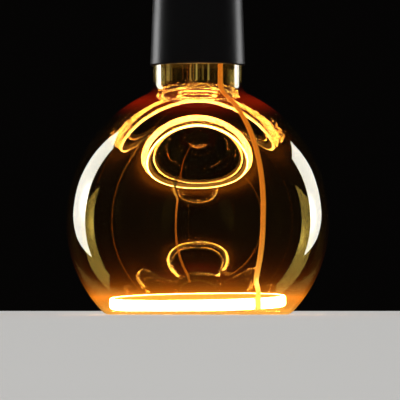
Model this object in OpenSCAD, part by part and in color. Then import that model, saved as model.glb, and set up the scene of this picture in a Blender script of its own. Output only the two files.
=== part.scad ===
// Globe bulb with a floating ring light, standing on the flat face of its glass.
// Origin at the centre of that face, +Z along the axis to the cap, millimetres.

/* [Globe] */
// Outer diameter of the glass globe
globe_d = 125; // [115:1:135]
// Height of the globe's widest section above its flat face
globe_rise = 44.5; // [42:0.5:48]
// Radius of the arc above the widest section, in the globe's outline
shoulder_r = 66.5; // [65:0.5:68]
// Radius of the corner round the flat face
corner_r = 5; // [4:0.5:8]
// Thickness of the glass
glass_t = 1; // [0.8:0.1:1.4]

/* [Neck] */
// Outer diameter of the straight glass neck
neck_d = 42; // [40:0.5:44]
// Radius of the hollow curve between neck and shoulder
throat_r = 5.5; // [4:0.5:7]
// Length of neck that shows under the housing
neck_shown = 8.5; // [6:0.5:12]
// Length of neck that the housing hides
neck_hidden = 10; // [9:0.5:13]

/* [Ring light] */
// Outer diameter of the ring
ring_d = 83.8; // [78:0.2:85]
// Height of the ring's band
ring_h = 5; // [4.4:0.2:5.6]
// Thickness of the ring's band
ring_t = 2.4; // [2.2:0.1:3]
// Height of the ring's centre above the flat face
ring_rise = 6; // [5.8:0.1:7]
// Least clearance between the ring and the curved glass round it
ring_clear = 0.8; // [0.5:0.1:1.2]
// Tilt that lifts the ring's far side, in degrees
ring_pitch = 2; // [0:0.5:2.5]
// Tilt that lifts the ring's right side, in degrees
ring_roll = 1; // [0:0.5:2]
// Gap between the ring's two ends, along its arc
ring_gap = 3.4; // [3:0.2:5]
// Angle of the gap about the axis
ring_gap_at = -48.5; // [-54:0.5:-42]
// Height of the carrier strip inside the ring
strip_h = 3.4; // [3:0.1:3.8]
// Thickness of the carrier strip
strip_t = 0.3; // [0.2:0.05:0.4]
// Number of light chips on the strip
chip_count = 72; // [40:1:90]
// Width of one chip, along the ring
chip_w = 1.2; // [0.8:0.1:1.6]
// Thickness of one chip, across the strip
chip_t = 0.4; // [0.3:0.05:0.6]
// Height of one chip
chip_h = 0.8; // [0.6:0.1:1.2]

/* [Feed strip] */
// Width of the feed strip
feed_w = 2.4; // [2:0.1:3]
// Thickness of the feed strip
feed_t = 0.7; // [0.6:0.05:0.9]
// Clearance between the feed strip and the glass
feed_gap = 0.3; // [0.2:0.05:0.5]
// Angle of the feed strip about the axis, in the neck
feed_at = -57.5; // [-62:0.5:-55]
// Angle that the strip wanders about the axis on its way down to the widest section
feed_lean = -3; // [-5:0.5:0]
// Width of one copper track
track_w = 0.7; // [0.5:0.05:0.8]

/* [Housing] */
// Outer diameter of the housing's rim
housing_d = 45.2; // [44.6:0.1:48]
// Taper of the housing's side, in degrees
housing_taper = 2.2; // [0:0.2:3]
// Length of the tapered side
housing_h = 34; // [32:1:40]
// Radius of the round above the tapered side
housing_round = 6; // [4:0.5:8]
// Wall thickness of the housing
housing_t = 1.6; // [1.4:0.1:2]
// Diameter of the seat under the cap
collar_d = 28.6; // [27.6:0.2:31]
// Slope of the housing's roof, in degrees
roof_a = 20; // [15:1:30]
// Thickness of the cement round the neck
cement_t = 0.3; // [0.25:0.05:0.4]
// Height of the cement
cement_h = 7; // [5:0.5:8]

/* [Screw cap] */
// Diameter of the cap's plain skirt
skirt_d = 26.3; // [26.2:0.1:26.6]
// Height of the skirt
skirt_h = 6; // [5:0.5:7]
// Diameter over the thread's crests
thread_d = 26.1; // [26:0.05:26.2]
// Depth of the rolled thread
thread_depth = 0.95; // [0.8:0.05:1.05]
// Rise of the thread in one turn
thread_pitch = 3.63; // [3.5:0.01:3.7]
// Number of turns
thread_turns = 3.6; // [3:0.1:4]
// Thickness of the cap's sheet metal
sheet_t = 0.35; // [0.3:0.05:0.4]
// Diameter of the hole at the top of the shell
cap_mouth_d = 19.4; // [18:0.2:20]
// Height of the insulator above the shell
insulator_h = 4.2; // [3.6:0.1:5]
// Diameter of the centre contact
contact_d = 9.6; // [8.6:0.2:10.4]
// Height of the contact's head
contact_h = 1.8; // [1.4:0.1:2.2]

/* [Driver] */
// Diameter of the driver board
board_d = 37; // [35:0.5:38]
// Thickness of the driver board
board_t = 1.6; // [1.2:0.1:2]
// Height of the posts that carry the board
post_h = 6.4; // [5:0.2:8]
// Diameter of the smoothing capacitor
capacitor_d = 8; // [6:0.5:8.5]
// Length of the smoothing capacitor
capacitor_h = 14; // [10:0.5:15]
// Diameter of the choke's flanges
choke_d = 9; // [7:0.5:9.5]
// Height of the choke
choke_h = 9; // [7:0.5:11]

/* [Hidden] */
// A small clearance between pieces of one assembly
fit = 0.05;
steps = 96;

// Outline of the glass: a ball below its widest section, and above it an arc whose centre lies
// beyond the axis, both cut into short chords.
ball_r = globe_d / 2;
neck_r = neck_d / 2;
shoulder_off = shoulder_r - ball_r;
corner_x = sqrt(pow(ball_r - corner_r, 2) - pow(globe_rise - corner_r, 2));
corner_a = 90 + atan2(globe_rise - corner_r, corner_x);
throat_x = neck_r + throat_r;
throat_z = globe_rise + sqrt(pow(shoulder_r + throat_r, 2) - pow(throat_x + shoulder_off, 2));
throat_a = atan2(throat_x + shoulder_off, throat_z - globe_rise);
rim_z = throat_z + neck_shown;
neck_top = rim_z + neck_hidden;

// Points of an arc in the outline, at angles measured from the axis
function arc(centre, r, from, to, n) = [
    for (i = [0:n])
        let (a = from + (to - from) * i / n)
        centre + r * [sin(a), cos(a)]
];

// The outline from the neck's end down to the flat face, moved inwards by t
function glass_side(t) = concat(
    [[neck_r - t, neck_top]],
    arc([throat_x, throat_z], throat_r + t, -90, throat_a - 180, 7),
    arc([-shoulder_off, globe_rise], shoulder_r - t, throat_a, 90, 17),
    arc([0, globe_rise], ball_r - t, 92, corner_a, 8),
    arc([corner_x, corner_r], corner_r - t, corner_a + 4, 180, 7)
);

module globe_glass() {
    outside = glass_side(0);
    inside = glass_side(glass_t);
    color("goldenrod", 0.4)
        rotate_extrude($fn = steps)
            polygon(concat(
                outside,
                [[0, 0], [0, glass_t]],
                [for (i = [len(inside) - 1:-1:0]) inside[i]]
            ));
}

// The ring light. Its pieces are drawn level about their own centre and then tilted in the globe,
// at their set height or, in a globe that is too narrow there, at the lowest one that clears it.
ring_mid = ring_d / 2 - ring_t / 2;
gap_angle = ring_gap / ring_mid * 180 / PI;
ring_tilt = acos(cos(ring_pitch) * cos(ring_roll));
ring_low = ring_h / 2 + ring_d / 2 * sin(ring_tilt);
wall_low = globe_rise - sqrt(pow(ball_r - glass_t, 2) - pow(ring_d / 2 + ring_clear, 2));
ring_z = max(ring_rise, wall_low + ring_low);

module in_globe() {
    translate([0, 0, ring_z])
        rotate([ring_pitch, -ring_roll, 0])
            children();
}

// The same place for a single point
function in_globe(p) =
    let (
        y = p[1] * cos(ring_pitch) - p[2] * sin(ring_pitch),
        z = p[1] * sin(ring_pitch) + p[2] * cos(ring_pitch)
    )
    [
        p[0] * cos(ring_roll) - z * sin(ring_roll),
        y,
        p[0] * sin(ring_roll) + z * cos(ring_roll) + ring_z
    ];

// A profile swept round the ring from one end to the other
module round_ring() {
    rotate([0, 0, ring_gap_at + gap_angle / 2])
        rotate_extrude(angle = 360 - gap_angle, $fn = steps)
            children();
}

// The band's rounded section, both coats together
module coat_section() {
    edge = ring_t / 2;
    intersection() {
        translate([ring_mid - edge, -ring_h / 2])
            square([2 * edge, ring_h]);
        union() {
            translate([ring_mid, ring_h / 2 - edge])
                circle(edge, $fn = 32);
            translate([ring_mid, edge - ring_h / 2])
                circle(edge, $fn = 32);
            translate([ring_mid - edge, edge - ring_h / 2])
                square([2 * edge, ring_h - 2 * edge]);
        }
    }
}

module outer_phosphor_coat() {
    pocket = [strip_t / 2 + fit, strip_h + 2 * fit];
    bed = [chip_t + 2 * fit, chip_h + 2 * fit];
    color("moccasin")
        in_globe()
            round_ring()
                difference() {
                    coat_section();
                    translate([ring_mid - ring_t, -ring_h])
                        square([ring_t, 2 * ring_h]);
                    translate([ring_mid, -pocket[1] / 2])
                        square(pocket);
                    translate([ring_mid + strip_t / 2, -bed[1] / 2])
                        square([bed[0] + fit, bed[1]]);
                }
}

module inner_phosphor_coat() {
    pocket = [strip_t / 2 + fit, strip_h + 2 * fit];
    color("orange")
        in_globe()
            round_ring()
                difference() {
                    coat_section();
                    translate([ring_mid - fit / 2, -ring_h])
                        square([ring_t, 2 * ring_h]);
                    translate([ring_mid - pocket[0], -pocket[1] / 2])
                        square(pocket);
                }
}

module ring_strip() {
    color("khaki")
        in_globe()
            round_ring()
                translate([ring_mid - strip_t / 2, -strip_h / 2])
                    square([strip_t, strip_h]);
}

module led_chips() {
    end_margin = 3;
    span = 360 - gap_angle - end_margin;
    color("gold")
        in_globe()
            for (i = [0:chip_count - 1])
                rotate([0, 0, ring_gap_at + 180 + span * ((i + 0.5) / chip_count - 0.5)])
                    translate([ring_mid + strip_t / 2 + fit / 2, -chip_w / 2, -chip_h / 2])
                        cube([chip_t, chip_w, chip_h]);
}

// Metal tabs that lie on the strip's inner face at its two ends and reach into the cuff
tab_t = 0.3;
tab_apart = 1;
tab_reach = (ring_gap - tab_apart) / 2;

module ring_tabs() {
    color("silver")
        in_globe()
            for (side = [-1, 1])
                rotate([0, 0, ring_gap_at])
                    translate([ring_mid, side * (ring_gap / 2 - fit / 2 - tab_reach / 2), 0])
                        cube([tab_t, tab_reach, strip_h / 2], center = true);
}

// Clear cuff in the ring's gap, with a flat outer face that the feed strip lies on
cuff_over = 0.4;
cuff_t = ring_t + 2 * cuff_over;

module ring_cuff() {
    wide = ring_gap - 2 * fit;
    slot = [tab_t + 2 * fit, tab_reach + 2 * fit, strip_h / 2 + 2 * fit];
    color("wheat")
        in_globe()
            rotate([0, 0, ring_gap_at])
                difference() {
                    translate([ring_mid, 0, 0])
                        cube([cuff_t, wide, ring_h + cuff_over], center = true);
                    for (side = [-1, 1])
                        translate([ring_mid, side * (ring_gap / 2 + fit - slot[1] / 2), 0])
                            cube(slot, center = true);
                }
}

// The feed strip follows the inside of the glass, leaves it near the bottom and comes down on the
// cuff. Its top end is folded over the driver board.
plug_flange = 1.6;
board_z = neck_top + plug_flange + post_h;
board_top = board_z + board_t;
fold_r = 2;
fold_tail = 4;
feed_in = glass_t + feed_gap + feed_t / 2;
feed_neck_r = neck_r - feed_in;
feed_top = board_top + fit + feed_t / 2;
leave_a = 113;
feed_bend = 9;

// A point of the outline's plane, or a direction in it, turned to the strip's angle at a height
function feed_a(z) = feed_at + feed_lean * min(1, max(0, (throat_z - z) / (throat_z - globe_rise)));
function turned(p, z) = [p[0] * cos(feed_a(z)), p[0] * sin(feed_a(z)), p[1]];

// Each stop of the route holds its place and the direction of the wall behind it
fold_stops = concat(
    [[[feed_neck_r - fold_r - fold_tail, feed_top], [0, 1]]],
    [
        for (a = [0:18:90])
            [[feed_neck_r - fold_r, feed_top - fold_r] + fold_r * [sin(a), cos(a)], [sin(a), cos(a)]]
    ],
    [[[feed_neck_r, neck_top - neck_hidden / 2], [1, 0]]]
);
throat_stops = [
    for (i = [0:5])
        let (a = -90 + (throat_a - 90) * i / 5)
        [[throat_x, throat_z] + (throat_r + feed_in) * [sin(a), cos(a)], -[sin(a), cos(a)]]
];
shoulder_stops = [
    for (i = [1:13])
        let (a = throat_a + (90 - throat_a) * i / 13)
        [[-shoulder_off, globe_rise] + (shoulder_r - feed_in) * [sin(a), cos(a)], [sin(a), cos(a)]]
];
ball_stops = [
    for (i = [1:4])
        let (a = 90 + (leave_a - 90) * i / 4)
        [[0, globe_rise] + (ball_r - feed_in) * [sin(a), cos(a)], [sin(a), cos(a)]]
];
plane_stops = concat(fold_stops, throat_stops, shoulder_stops, ball_stops);

// The last stretch is a smooth curve from the glass to the cuff's outer face
cuff_face = ring_mid + cuff_t / 2 + fit + feed_t / 2;
function cuff_point(h) =
    in_globe([cuff_face * cos(ring_gap_at), cuff_face * sin(ring_gap_at), h]);
leave_stop = plane_stops[len(plane_stops) - 1];
leave_z = leave_stop[0][1];
leave_p = turned(leave_stop[0], leave_z);
leave_dir = turned([cos(leave_a), -sin(leave_a)], leave_z);
leave_n = turned(leave_stop[1], leave_z);
land_p = cuff_point(ring_h / 2);
land_dir = in_globe([0, 0, -1]) - in_globe([0, 0, 0]);
land_n = in_globe([cos(ring_gap_at), sin(ring_gap_at), 0]) - in_globe([0, 0, 0]);

function unit(v) = v / norm(v);
function bezier(a, b, c, d, t) =
    pow(1 - t, 3) * a + 3 * pow(1 - t, 2) * t * b + 3 * (1 - t) * t * t * c + t * t * t * d;

drop_count = 16;
drop_stops = [
    for (i = [1:drop_count])
        let (t = i / drop_count)
        [
            bezier(leave_p, leave_p + feed_bend * leave_dir, land_p - feed_bend * land_dir, land_p, t),
            unit((1 - t) * leave_n + t * land_n)
        ]
];
feed_route = concat(
    [for (s = plane_stops) [turned(s[0], s[0][1]), turned(s[1], s[0][1])]],
    drop_stops,
    [[cuff_point(-ring_h / 2), land_n]]
);

// A flat band along the route, with its width across the route and its thickness between the
// two depths, which count from the middle of the strip towards the glass
module feed_band(from, to, left, right) {
    last = len(feed_route) - 1;
    rings = [
        for (i = [0:last])
            let (
                p = feed_route[i][0],
                ahead = unit(feed_route[min(i + 1, last)][0] - feed_route[max(i - 1, 0)][0]),
                across = unit(cross(ahead, feed_route[i][1])),
                out = cross(across, ahead)
            )
            [
                p + left * across + from * out,
                p + right * across + from * out,
                p + right * across + to * out,
                p + left * across + to * out
            ]
    ];
    sides = [
        for (i = [0:last - 1])
            for (k = [0:3])
                let (a = 4 * i + k, b = 4 * i + (k + 1) % 4)
                each [[a, b, a + 4], [b, b + 4, a + 4]]
    ];
    e = 4 * last;
    ends = [[0, 2, 1], [0, 3, 2], [e, e + 1, e + 2], [e, e + 2, e + 3]];
    polyhedron([for (r = rings) each r], concat(sides, ends));
}

// Depth of the films' inner faces, and half the thickness of the tracks between them
film_in = 0.1;
track_half = 0.05;

module feed_base_film() {
    color("darkorange")
        feed_band(film_in, feed_t / 2, -feed_w / 2, feed_w / 2);
}

module feed_cover_film() {
    color("orange")
        feed_band(-feed_t / 2, -film_in, -feed_w / 2, feed_w / 2);
}

module feed_tracks() {
    near = feed_w / 4 - track_w / 2;
    color("peru") {
        feed_band(-track_half, track_half, near, near + track_w);
        feed_band(-track_half, track_half, -near - track_w, -near);
    }
}

// The housing. Its bore is stepped: the neck and its cement below, the driver above.
seat_r = neck_r + cement_t;
rim_r = housing_d / 2;
side_top = rim_z + housing_h;
side_r = rim_r - housing_h * tan(housing_taper);
round_x = side_r - housing_round * cos(housing_taper);
round_z = side_top - housing_round * sin(housing_taper);
collar_r = collar_d / 2;
roof_x = round_x + housing_round * sin(roof_a);
roof_z = round_z + housing_round * cos(roof_a);
collar_h = 1.4;
collar_z = roof_z + (roof_x - collar_r) * tan(roof_a);
cap_z = collar_z + collar_h;
spigot_fit = 0.3;
spigot_r = thread_d / 2 - thread_depth - sheet_t - spigot_fit;
spigot_h = 9;
spigot_t = 1.4;
spigot_lead = 0.5;
rim_round = 0.8;

module base_housing() {
    t = housing_t;
    bore_r = rim_r - (neck_top + plug_flange - rim_z) * tan(housing_taper) - t - fit;
    outside = concat(
        [[seat_r, rim_z], [rim_r - rim_round, rim_z]],
        arc([rim_r - rim_round, rim_z + rim_round], rim_round, 150, 90, 3),
        arc([round_x, round_z], housing_round, 90 - housing_taper, roof_a, 7),
        [
            [collar_r, collar_z], [collar_r, cap_z], [spigot_r, cap_z],
            [spigot_r, cap_z + spigot_h - 2 * spigot_lead], [spigot_r - spigot_lead, cap_z + spigot_h]
        ]
    );
    inside = concat(
        [[spigot_r - spigot_t, cap_z + spigot_h], [spigot_r - spigot_t, collar_z - t]],
        arc([round_x, round_z], housing_round - t, roof_a, 90 - housing_taper, 5),
        [[bore_r, neck_top + plug_flange], [seat_r, neck_top + plug_flange]]
    );
    color("dimgray")
        rotate_extrude($fn = steps)
            polygon(concat(outside, inside));
}

cement_back = 1;

module neck_cement() {
    from = neck_top - cement_back - cement_h;
    color("gainsboro")
        translate([0, 0, from])
            difference() {
                cylinder(r = seat_r - fit, h = cement_h, $fn = steps);
                translate([0, 0, -1])
                    cylinder(r = neck_r + fit, h = cement_h + 2, $fn = steps);
            }
}

// Plug in the neck's end: a shallow cup that reaches into the neck, a flange on the glass edge
// and three posts whose pins hold the board
plug_depth = 5;
plug_t = 1.6;
plug_fit = 0.2;
plug_round = 0.8;
post_at = [30, 150, 270];
post_ring = 12.5;
post_d = 4.4;
pin_d = 2;
pin_h = 1;
slot_fit = 0.4;

module plug_posts() {
    foot = neck_top - plug_depth + plug_t / 2;
    for (a = post_at)
        rotate([0, 0, a])
            translate([post_ring, 0, foot]) {
                cylinder(d = post_d, h = board_z - foot, $fn = 24);
                cylinder(d = pin_d, h = board_top + pin_h - foot, $fn = 24);
            }
}

module neck_plug() {
    cup_r = neck_r - glass_t - plug_fit;
    low = neck_top - plug_depth;
    high = neck_top + plug_flange;
    color("#1a1713")
        difference() {
            union() {
                rotate_extrude($fn = steps)
                    polygon([
                        [0, low], [cup_r - plug_round, low], [cup_r, low + plug_round], [cup_r, neck_top],
                        [seat_r - fit, neck_top], [seat_r - fit, high - fit], [cup_r - plug_t, high - fit],
                        [cup_r - plug_t, low + plug_t], [0, low + plug_t]
                    ]);
                plug_posts();
            }
            rotate([0, 0, feed_at])
                translate([feed_neck_r - feed_t / 2 - slot_fit, -feed_w / 2 - slot_fit, low - 1])
                    cube([
                        feed_t + slot_fit + feed_gap, feed_w + 2 * slot_fit,
                        plug_depth + plug_flange + 2
                    ]);
        }
}

// The driver board and its parts, which stand on its upper face
module driver_board() {
    color("seagreen")
        difference() {
            translate([0, 0, board_z])
                cylinder(d = board_d, h = board_t, $fn = steps);
            for (a = post_at)
                rotate([0, 0, a])
                    translate([post_ring, 0, board_z - 1])
                        cylinder(d = pin_d + 4 * fit, h = board_t + 2, $fn = 24);
            rotate([0, 0, feed_at])
                translate([feed_neck_r - fold_r - 2 * slot_fit, -feed_w / 2 - slot_fit, board_z - 1])
                    cube([board_d, feed_w + 2 * slot_fit, board_t + 2]);
        }
}

// Each part's place on the board: its distance from the axis and its angle about it
capacitor_at = [2.2, 90];
choke_at = [12.4, 205];
rectifier_at = [12.2, 0];
chip_at = [13, 122];
film_at = [11.4, 62];
fuse_at = [10.8, 322];
resistor_out = [14.6, 14.6, 8.6, 15.4, 15.4];
resistor_a = [95, 172, 238, 336, 24];

module on_board(place, turn = 0, lift = fit) {
    rotate([0, 0, place[1]])
        translate([place[0], 0, board_top + lift])
            rotate([0, 0, turn])
                children();
}

// A can with a crimped groove near its foot and a sunken top
module smoothing_capacitor() {
    r = capacitor_d / 2;
    crimp = 0.4;
    crimp_z = 1.8;
    rim = 0.5;
    color("darkslateblue")
        on_board(capacitor_at)
            rotate_extrude($fn = 48)
                polygon([
                    [0, 0], [r - crimp, 0], [r, crimp], [r, crimp_z - crimp], [r - crimp, crimp_z],
                    [r, crimp_z + crimp], [r, capacitor_h - rim], [r - rim, capacitor_h],
                    [r - 2 * rim, capacitor_h - rim / 2], [0, capacitor_h - rim / 2]
                ]);
}

choke_flange = 1.4;

module choke_core() {
    r = choke_d / 2;
    color("dimgray")
        on_board(choke_at)
            rotate_extrude($fn = 48)
                polygon([
                    [0, 0], [r, 0], [r, choke_flange], [r / 2, choke_flange],
                    [r / 2, choke_h - choke_flange], [r, choke_h - choke_flange], [r, choke_h],
                    [0, choke_h]
                ]);
}

module choke_winding() {
    h = choke_h - 2 * choke_flange - 2 * fit;
    sunk = 0.4;
    color("chocolate")
        on_board(choke_at, 0, choke_flange + 2 * fit)
            difference() {
                cylinder(d = choke_d - 2 * sunk, h = h, $fn = 48);
                translate([0, 0, -1])
                    cylinder(d = choke_d / 2 + 2 * fit, h = h + 2, $fn = 48);
            }
}

module bridge_rectifier() {
    body = [6.6, 4.8, 2.4];
    lead = [1, 1, 0.6];
    apart = 3.2;
    color("black")
        on_board(rectifier_at) {
            translate([0, 0, body[2] / 2 + lead[2] / 2])
                cube(body, center = true);
            for (sx = [-1, 1])
                for (sy = [-1, 1])
                    translate([sx * apart / 2, sy * (body[1] + lead[1]) / 2, lead[2] / 2])
                        cube(lead, center = true);
        }
}

module driver_chip() {
    body = [4.9, 3.9, 1.5];
    lead = [0.4, 1, 0.4];
    pitch = 1.27;
    color("black")
        on_board(chip_at, 90) {
            translate([0, 0, body[2] / 2 + lead[2] / 2])
                cube(body, center = true);
            for (i = [-1.5:1.5])
                for (s = [-1, 1])
                    translate([i * pitch, s * (body[1] + lead[1]) / 2, lead[2] / 2])
                        cube(lead, center = true);
        }
}

module film_capacitor() {
    body = [8, 3.8, 7.5];
    color("firebrick")
        on_board(film_at, 90)
            translate([0, 0, body[2] / 2])
                cube(body, center = true);
}

module fuse_resistor() {
    body_d = 3.2;
    body_h = 8.4;
    tip_d = 1;
    tip_h = 0.8;
    color("lightsteelblue")
        on_board(fuse_at) {
            cylinder(d = body_d, h = body_h, $fn = 32);
            translate([0, 0, body_h])
                cylinder(d1 = body_d, d2 = tip_d, h = tip_h, $fn = 32);
        }
}

module chip_resistors() {
    body = [2, 1.3, 0.6];
    color("black")
        for (i = [0:len(resistor_a) - 1])
            on_board([resistor_out[i], resistor_a[i]], 90)
                translate([0, 0, body[2] / 2])
                    cube(body, center = true);
}

// The cap. The shell is rolled sheet: a plain skirt, a round-bottomed thread and a closed-in lip.
thread_z = cap_z + skirt_h;
thread_h = thread_turns * thread_pitch;
lip_rise = 1.6;
shell_top = thread_z + thread_h + lip_rise;
mouth_r = cap_mouth_d / 2;
lip_r = thread_d / 2 - thread_depth;
lip_round = 1.1;
wall_in = 0.1;
seam = 0.05;
run_out = 0.6 * thread_pitch;

// The thread's share of its full depth at a height, which grows from the skirt and stays full
// at the lip
function near_skirt(h) = min(1, max(0, h / thread_pitch));
function near_lip(h) = min(1, max(0, (thread_h - h) / run_out));
function thread_r(h, a) =
    let (
        wave = (1 - cos(360 * h / thread_pitch - a)) / 2,
        share = 1 - (1 - wave) * near_lip(h)
    )
    thread_d / 2 - thread_depth * share * near_skirt(h);

module rolled_thread() {
    cols = 40;
    rows = 26;
    tuck = 0.6;
    heights = concat(
        [-tuck],
        [for (j = [0:rows]) thread_h * j / rows],
        [thread_h + tuck]
    );
    count = len(heights);
    function wall(h, a, depth) =
        let (
            tucked = h < 0 || h > thread_h,
            thinner = !tucked ? 0 : depth > 0 ? -wall_in : wall_in,
            r = thread_r(max(0, min(thread_h, h)), a) - depth - thinner
        )
        [r * cos(a), r * sin(a), thread_z + h];
    points = [
        for (depth = [0, sheet_t])
            for (h = heights)
                for (i = [0:cols - 1])
                    wall(h, 360 * i / cols, depth)
    ];
    function at(side, j, i) = side * count * cols + j * cols + i % cols;
    skin = [
        for (j = [0:count - 2])
            for (i = [0:cols - 1])
                each [
                    [at(0, j, i), at(0, j + 1, i), at(0, j, i + 1)],
                    [at(0, j, i + 1), at(0, j + 1, i), at(0, j + 1, i + 1)],
                    [at(1, j, i), at(1, j, i + 1), at(1, j + 1, i)],
                    [at(1, j, i + 1), at(1, j + 1, i + 1), at(1, j + 1, i)]
                ]
    ];
    top = count - 1;
    ends = [
        for (i = [0:cols - 1])
            each [
                [at(0, 0, i), at(0, 0, i + 1), at(1, 0, i)],
                [at(0, 0, i + 1), at(1, 0, i + 1), at(1, 0, i)],
                [at(0, top, i), at(1, top, i), at(0, top, i + 1)],
                [at(0, top, i + 1), at(1, top, i), at(1, top, i + 1)]
            ]
    ];
    polyhedron(points, concat(skin, ends));
}

module cap_shell() {
    color("silver") {
        rolled_thread();
        difference() {
            translate([0, 0, cap_z])
                cylinder(d = skirt_d, h = skirt_h, $fn = steps);
            translate([0, 0, cap_z - 1])
                cylinder(d = skirt_d - 2 * sheet_t - 2 * seam, h = skirt_h + 2, $fn = steps);
        }
        rotate_extrude($fn = steps)
            polygon([
                [lip_r + seam, thread_z + thread_h], [lip_r + seam, shell_top - lip_round],
                [lip_r + seam - lip_round, shell_top], [mouth_r, shell_top], [mouth_r, lip_low],
                [lip_r - lip_round, lip_low], [lip_r - sheet_t - seam, shell_top - lip_round - sheet_t / 2],
                [lip_r - sheet_t - seam, thread_z + thread_h]
            ]);
    }
}

lip_low = shell_top - sheet_t - 2 * seam;
plate_z = lip_low - fit;
plate_t = 2;
plate_in = 0.2;
plate_r = lip_r - sheet_t - lip_round - plate_in;
cone_z = shell_top + insulator_h;
hole_r = 1.6;
cone_edge = 0.4;
bead = 0.6;

module cap_insulator() {
    color("black")
        rotate_extrude($fn = steps)
            polygon([
                [hole_r, plate_z - plate_t], [plate_r, plate_z - plate_t], [plate_r, plate_z],
                [mouth_r - fit, plate_z], [mouth_r - fit, shell_top + bead],
                [mouth_r - fit - bead, shell_top + 2 * bead],
                [contact_d / 2 + 2 * cone_edge, cone_z - cone_edge],
                [contact_d / 2 + cone_edge, cone_z], [hole_r, cone_z]
            ]);
}

// The contact: a stamped head on a rivet that goes through the insulator
rivet_in = 0.5;
rivet_foot = plate_z - plate_t + rivet_in;

module centre_contact() {
    r = contact_d / 2;
    rivet_r = hole_r - fit;
    point = 0.4;
    edge = 0.7;
    top = cone_z + contact_h;
    color("darkgoldenrod")
        rotate_extrude($fn = steps)
            polygon([
                [0, rivet_foot], [rivet_r - point, rivet_foot], [rivet_r, rivet_foot + point],
                [rivet_r, cone_z], [r, cone_z], [r, cone_z + 0.4 * contact_h],
                [r - edge, top - edge / 5], [r - 2 * edge, top], [0, top]
            ]);
}

// The two wires from the board to the cap
wire_d = 1.1;
foot_bend = 9;
live_foot = [-3.5, -4];
live_bend = 6;
neutral_foot = [3.5, -5.5];
neutral_bend = 4;
solder_up = 3;
solder_fit = 0.15;

// A round wire through a list of places. Its sides start from a direction that no stretch follows.
module wire(places) {
    sides = 8;
    off_line = [0.31, 0.95, 0.05];
    last = len(places) - 1;
    rings = [
        for (i = [0:last])
            let (
                ahead = unit(places[min(i + 1, last)] - places[max(i - 1, 0)]),
                side = unit(cross(ahead, off_line)),
                up = cross(side, ahead)
            )
            [
                for (k = [0:sides - 1])
                    let (a = 360 * k / sides)
                    places[i] + wire_d / 2 * (side * cos(a) + up * sin(a))
            ]
    ];
    skin = [
        for (i = [0:last - 1])
            for (k = [0:sides - 1])
                let (a = sides * i + k, b = sides * i + (k + 1) % sides)
                each [[a, b, a + sides], [b, b + sides, a + sides]]
    ];
    foot = [for (k = [sides - 1:-1:0]) k];
    head = [for (k = [0:sides - 1]) sides * last + k];
    polyhedron([for (r = rings) each r], concat(skin, [foot, head]));
}

// Places along a smooth wire between two ends, leaving and arriving in given directions
function loose(a, da, b, db) = [for (i = [0:10]) bezier(a, a + da, b - db, b, i / 10)];

module live_wire() {
    foot = [live_foot[0], live_foot[1], board_top + fit];
    head = [0, 0, rivet_foot - fit];
    color("brown")
        wire(loose(foot, [0, 0, foot_bend], head, [0, 0, live_bend]));
}

module neutral_wire() {
    foot = [neutral_foot[0], neutral_foot[1], board_top + fit];
    head = [0, -(lip_r - sheet_t - solder_fit), cap_z + spigot_h + solder_up];
    color("steelblue")
        wire(loose(foot, [0, 0, foot_bend], head, [0, -neutral_bend, 0]));
}

globe_glass();
outer_phosphor_coat();
inner_phosphor_coat();
ring_strip();
led_chips();
ring_tabs();
ring_cuff();
feed_base_film();
feed_tracks();
feed_cover_film();
neck_cement();
neck_plug();
base_housing();
driver_board();
bridge_rectifier();
smoothing_capacitor();
choke_core();
choke_winding();
driver_chip();
film_capacitor();
fuse_resistor();
chip_resistors();
live_wire();
neutral_wire();
cap_shell();
cap_insulator();
centre_contact();
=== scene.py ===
"""The looks of a globe bulb with a floating ring light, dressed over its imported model.

The bulb stands on the flat face of its amber glass. A glowing ring lies low in the globe, a flat orange
strip feeds it along the glass, and a matte black housing with a screw cap closes the neck. All sizes are
in metres.
"""
import functools
import logging
import math
from dataclasses import dataclass, field
from enum import Enum

import bmesh
import bpy
from mathutils import Matrix, Vector


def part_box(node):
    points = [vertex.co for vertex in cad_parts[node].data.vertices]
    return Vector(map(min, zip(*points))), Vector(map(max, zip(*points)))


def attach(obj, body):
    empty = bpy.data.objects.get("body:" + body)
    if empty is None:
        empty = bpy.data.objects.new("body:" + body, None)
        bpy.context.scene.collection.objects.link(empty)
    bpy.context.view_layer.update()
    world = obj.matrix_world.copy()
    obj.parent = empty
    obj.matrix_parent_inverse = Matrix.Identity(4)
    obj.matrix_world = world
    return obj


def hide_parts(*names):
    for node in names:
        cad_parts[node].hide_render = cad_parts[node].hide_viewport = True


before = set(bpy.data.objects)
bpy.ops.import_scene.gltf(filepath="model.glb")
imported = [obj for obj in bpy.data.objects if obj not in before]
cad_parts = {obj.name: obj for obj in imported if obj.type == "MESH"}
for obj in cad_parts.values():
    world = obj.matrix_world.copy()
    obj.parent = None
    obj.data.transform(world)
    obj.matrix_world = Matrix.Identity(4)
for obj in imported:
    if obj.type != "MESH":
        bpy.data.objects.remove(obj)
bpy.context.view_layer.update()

MM = 0.001
BODY = "root"
EDGE = "edge"
ACROSS = "across"
CREASE = 40.0
log = logging.getLogger("globe_bulb")

Colour = tuple[float, float, float]
Axes = tuple[float, float, float]
Place = tuple[float, float]
Stop = tuple[Vector, Vector]
DARK: Colour = (0.0, 0.0, 0.0)


class Axis(Enum):
    """The axes of a vector, as a Separate XYZ node names its outputs."""

    X = "X"
    Y = "Y"
    Z = "Z"


class Side(Enum):
    """The two sides of the studio, as the sign of the azimuth seen from the camera."""

    LEFT = -1
    RIGHT = 1


class Coat(Enum):
    """The two halves of the ring's band, as the sign of the way out from its middle."""

    OUTER = 1
    INNER = -1


# Node trees written as expressions

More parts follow.
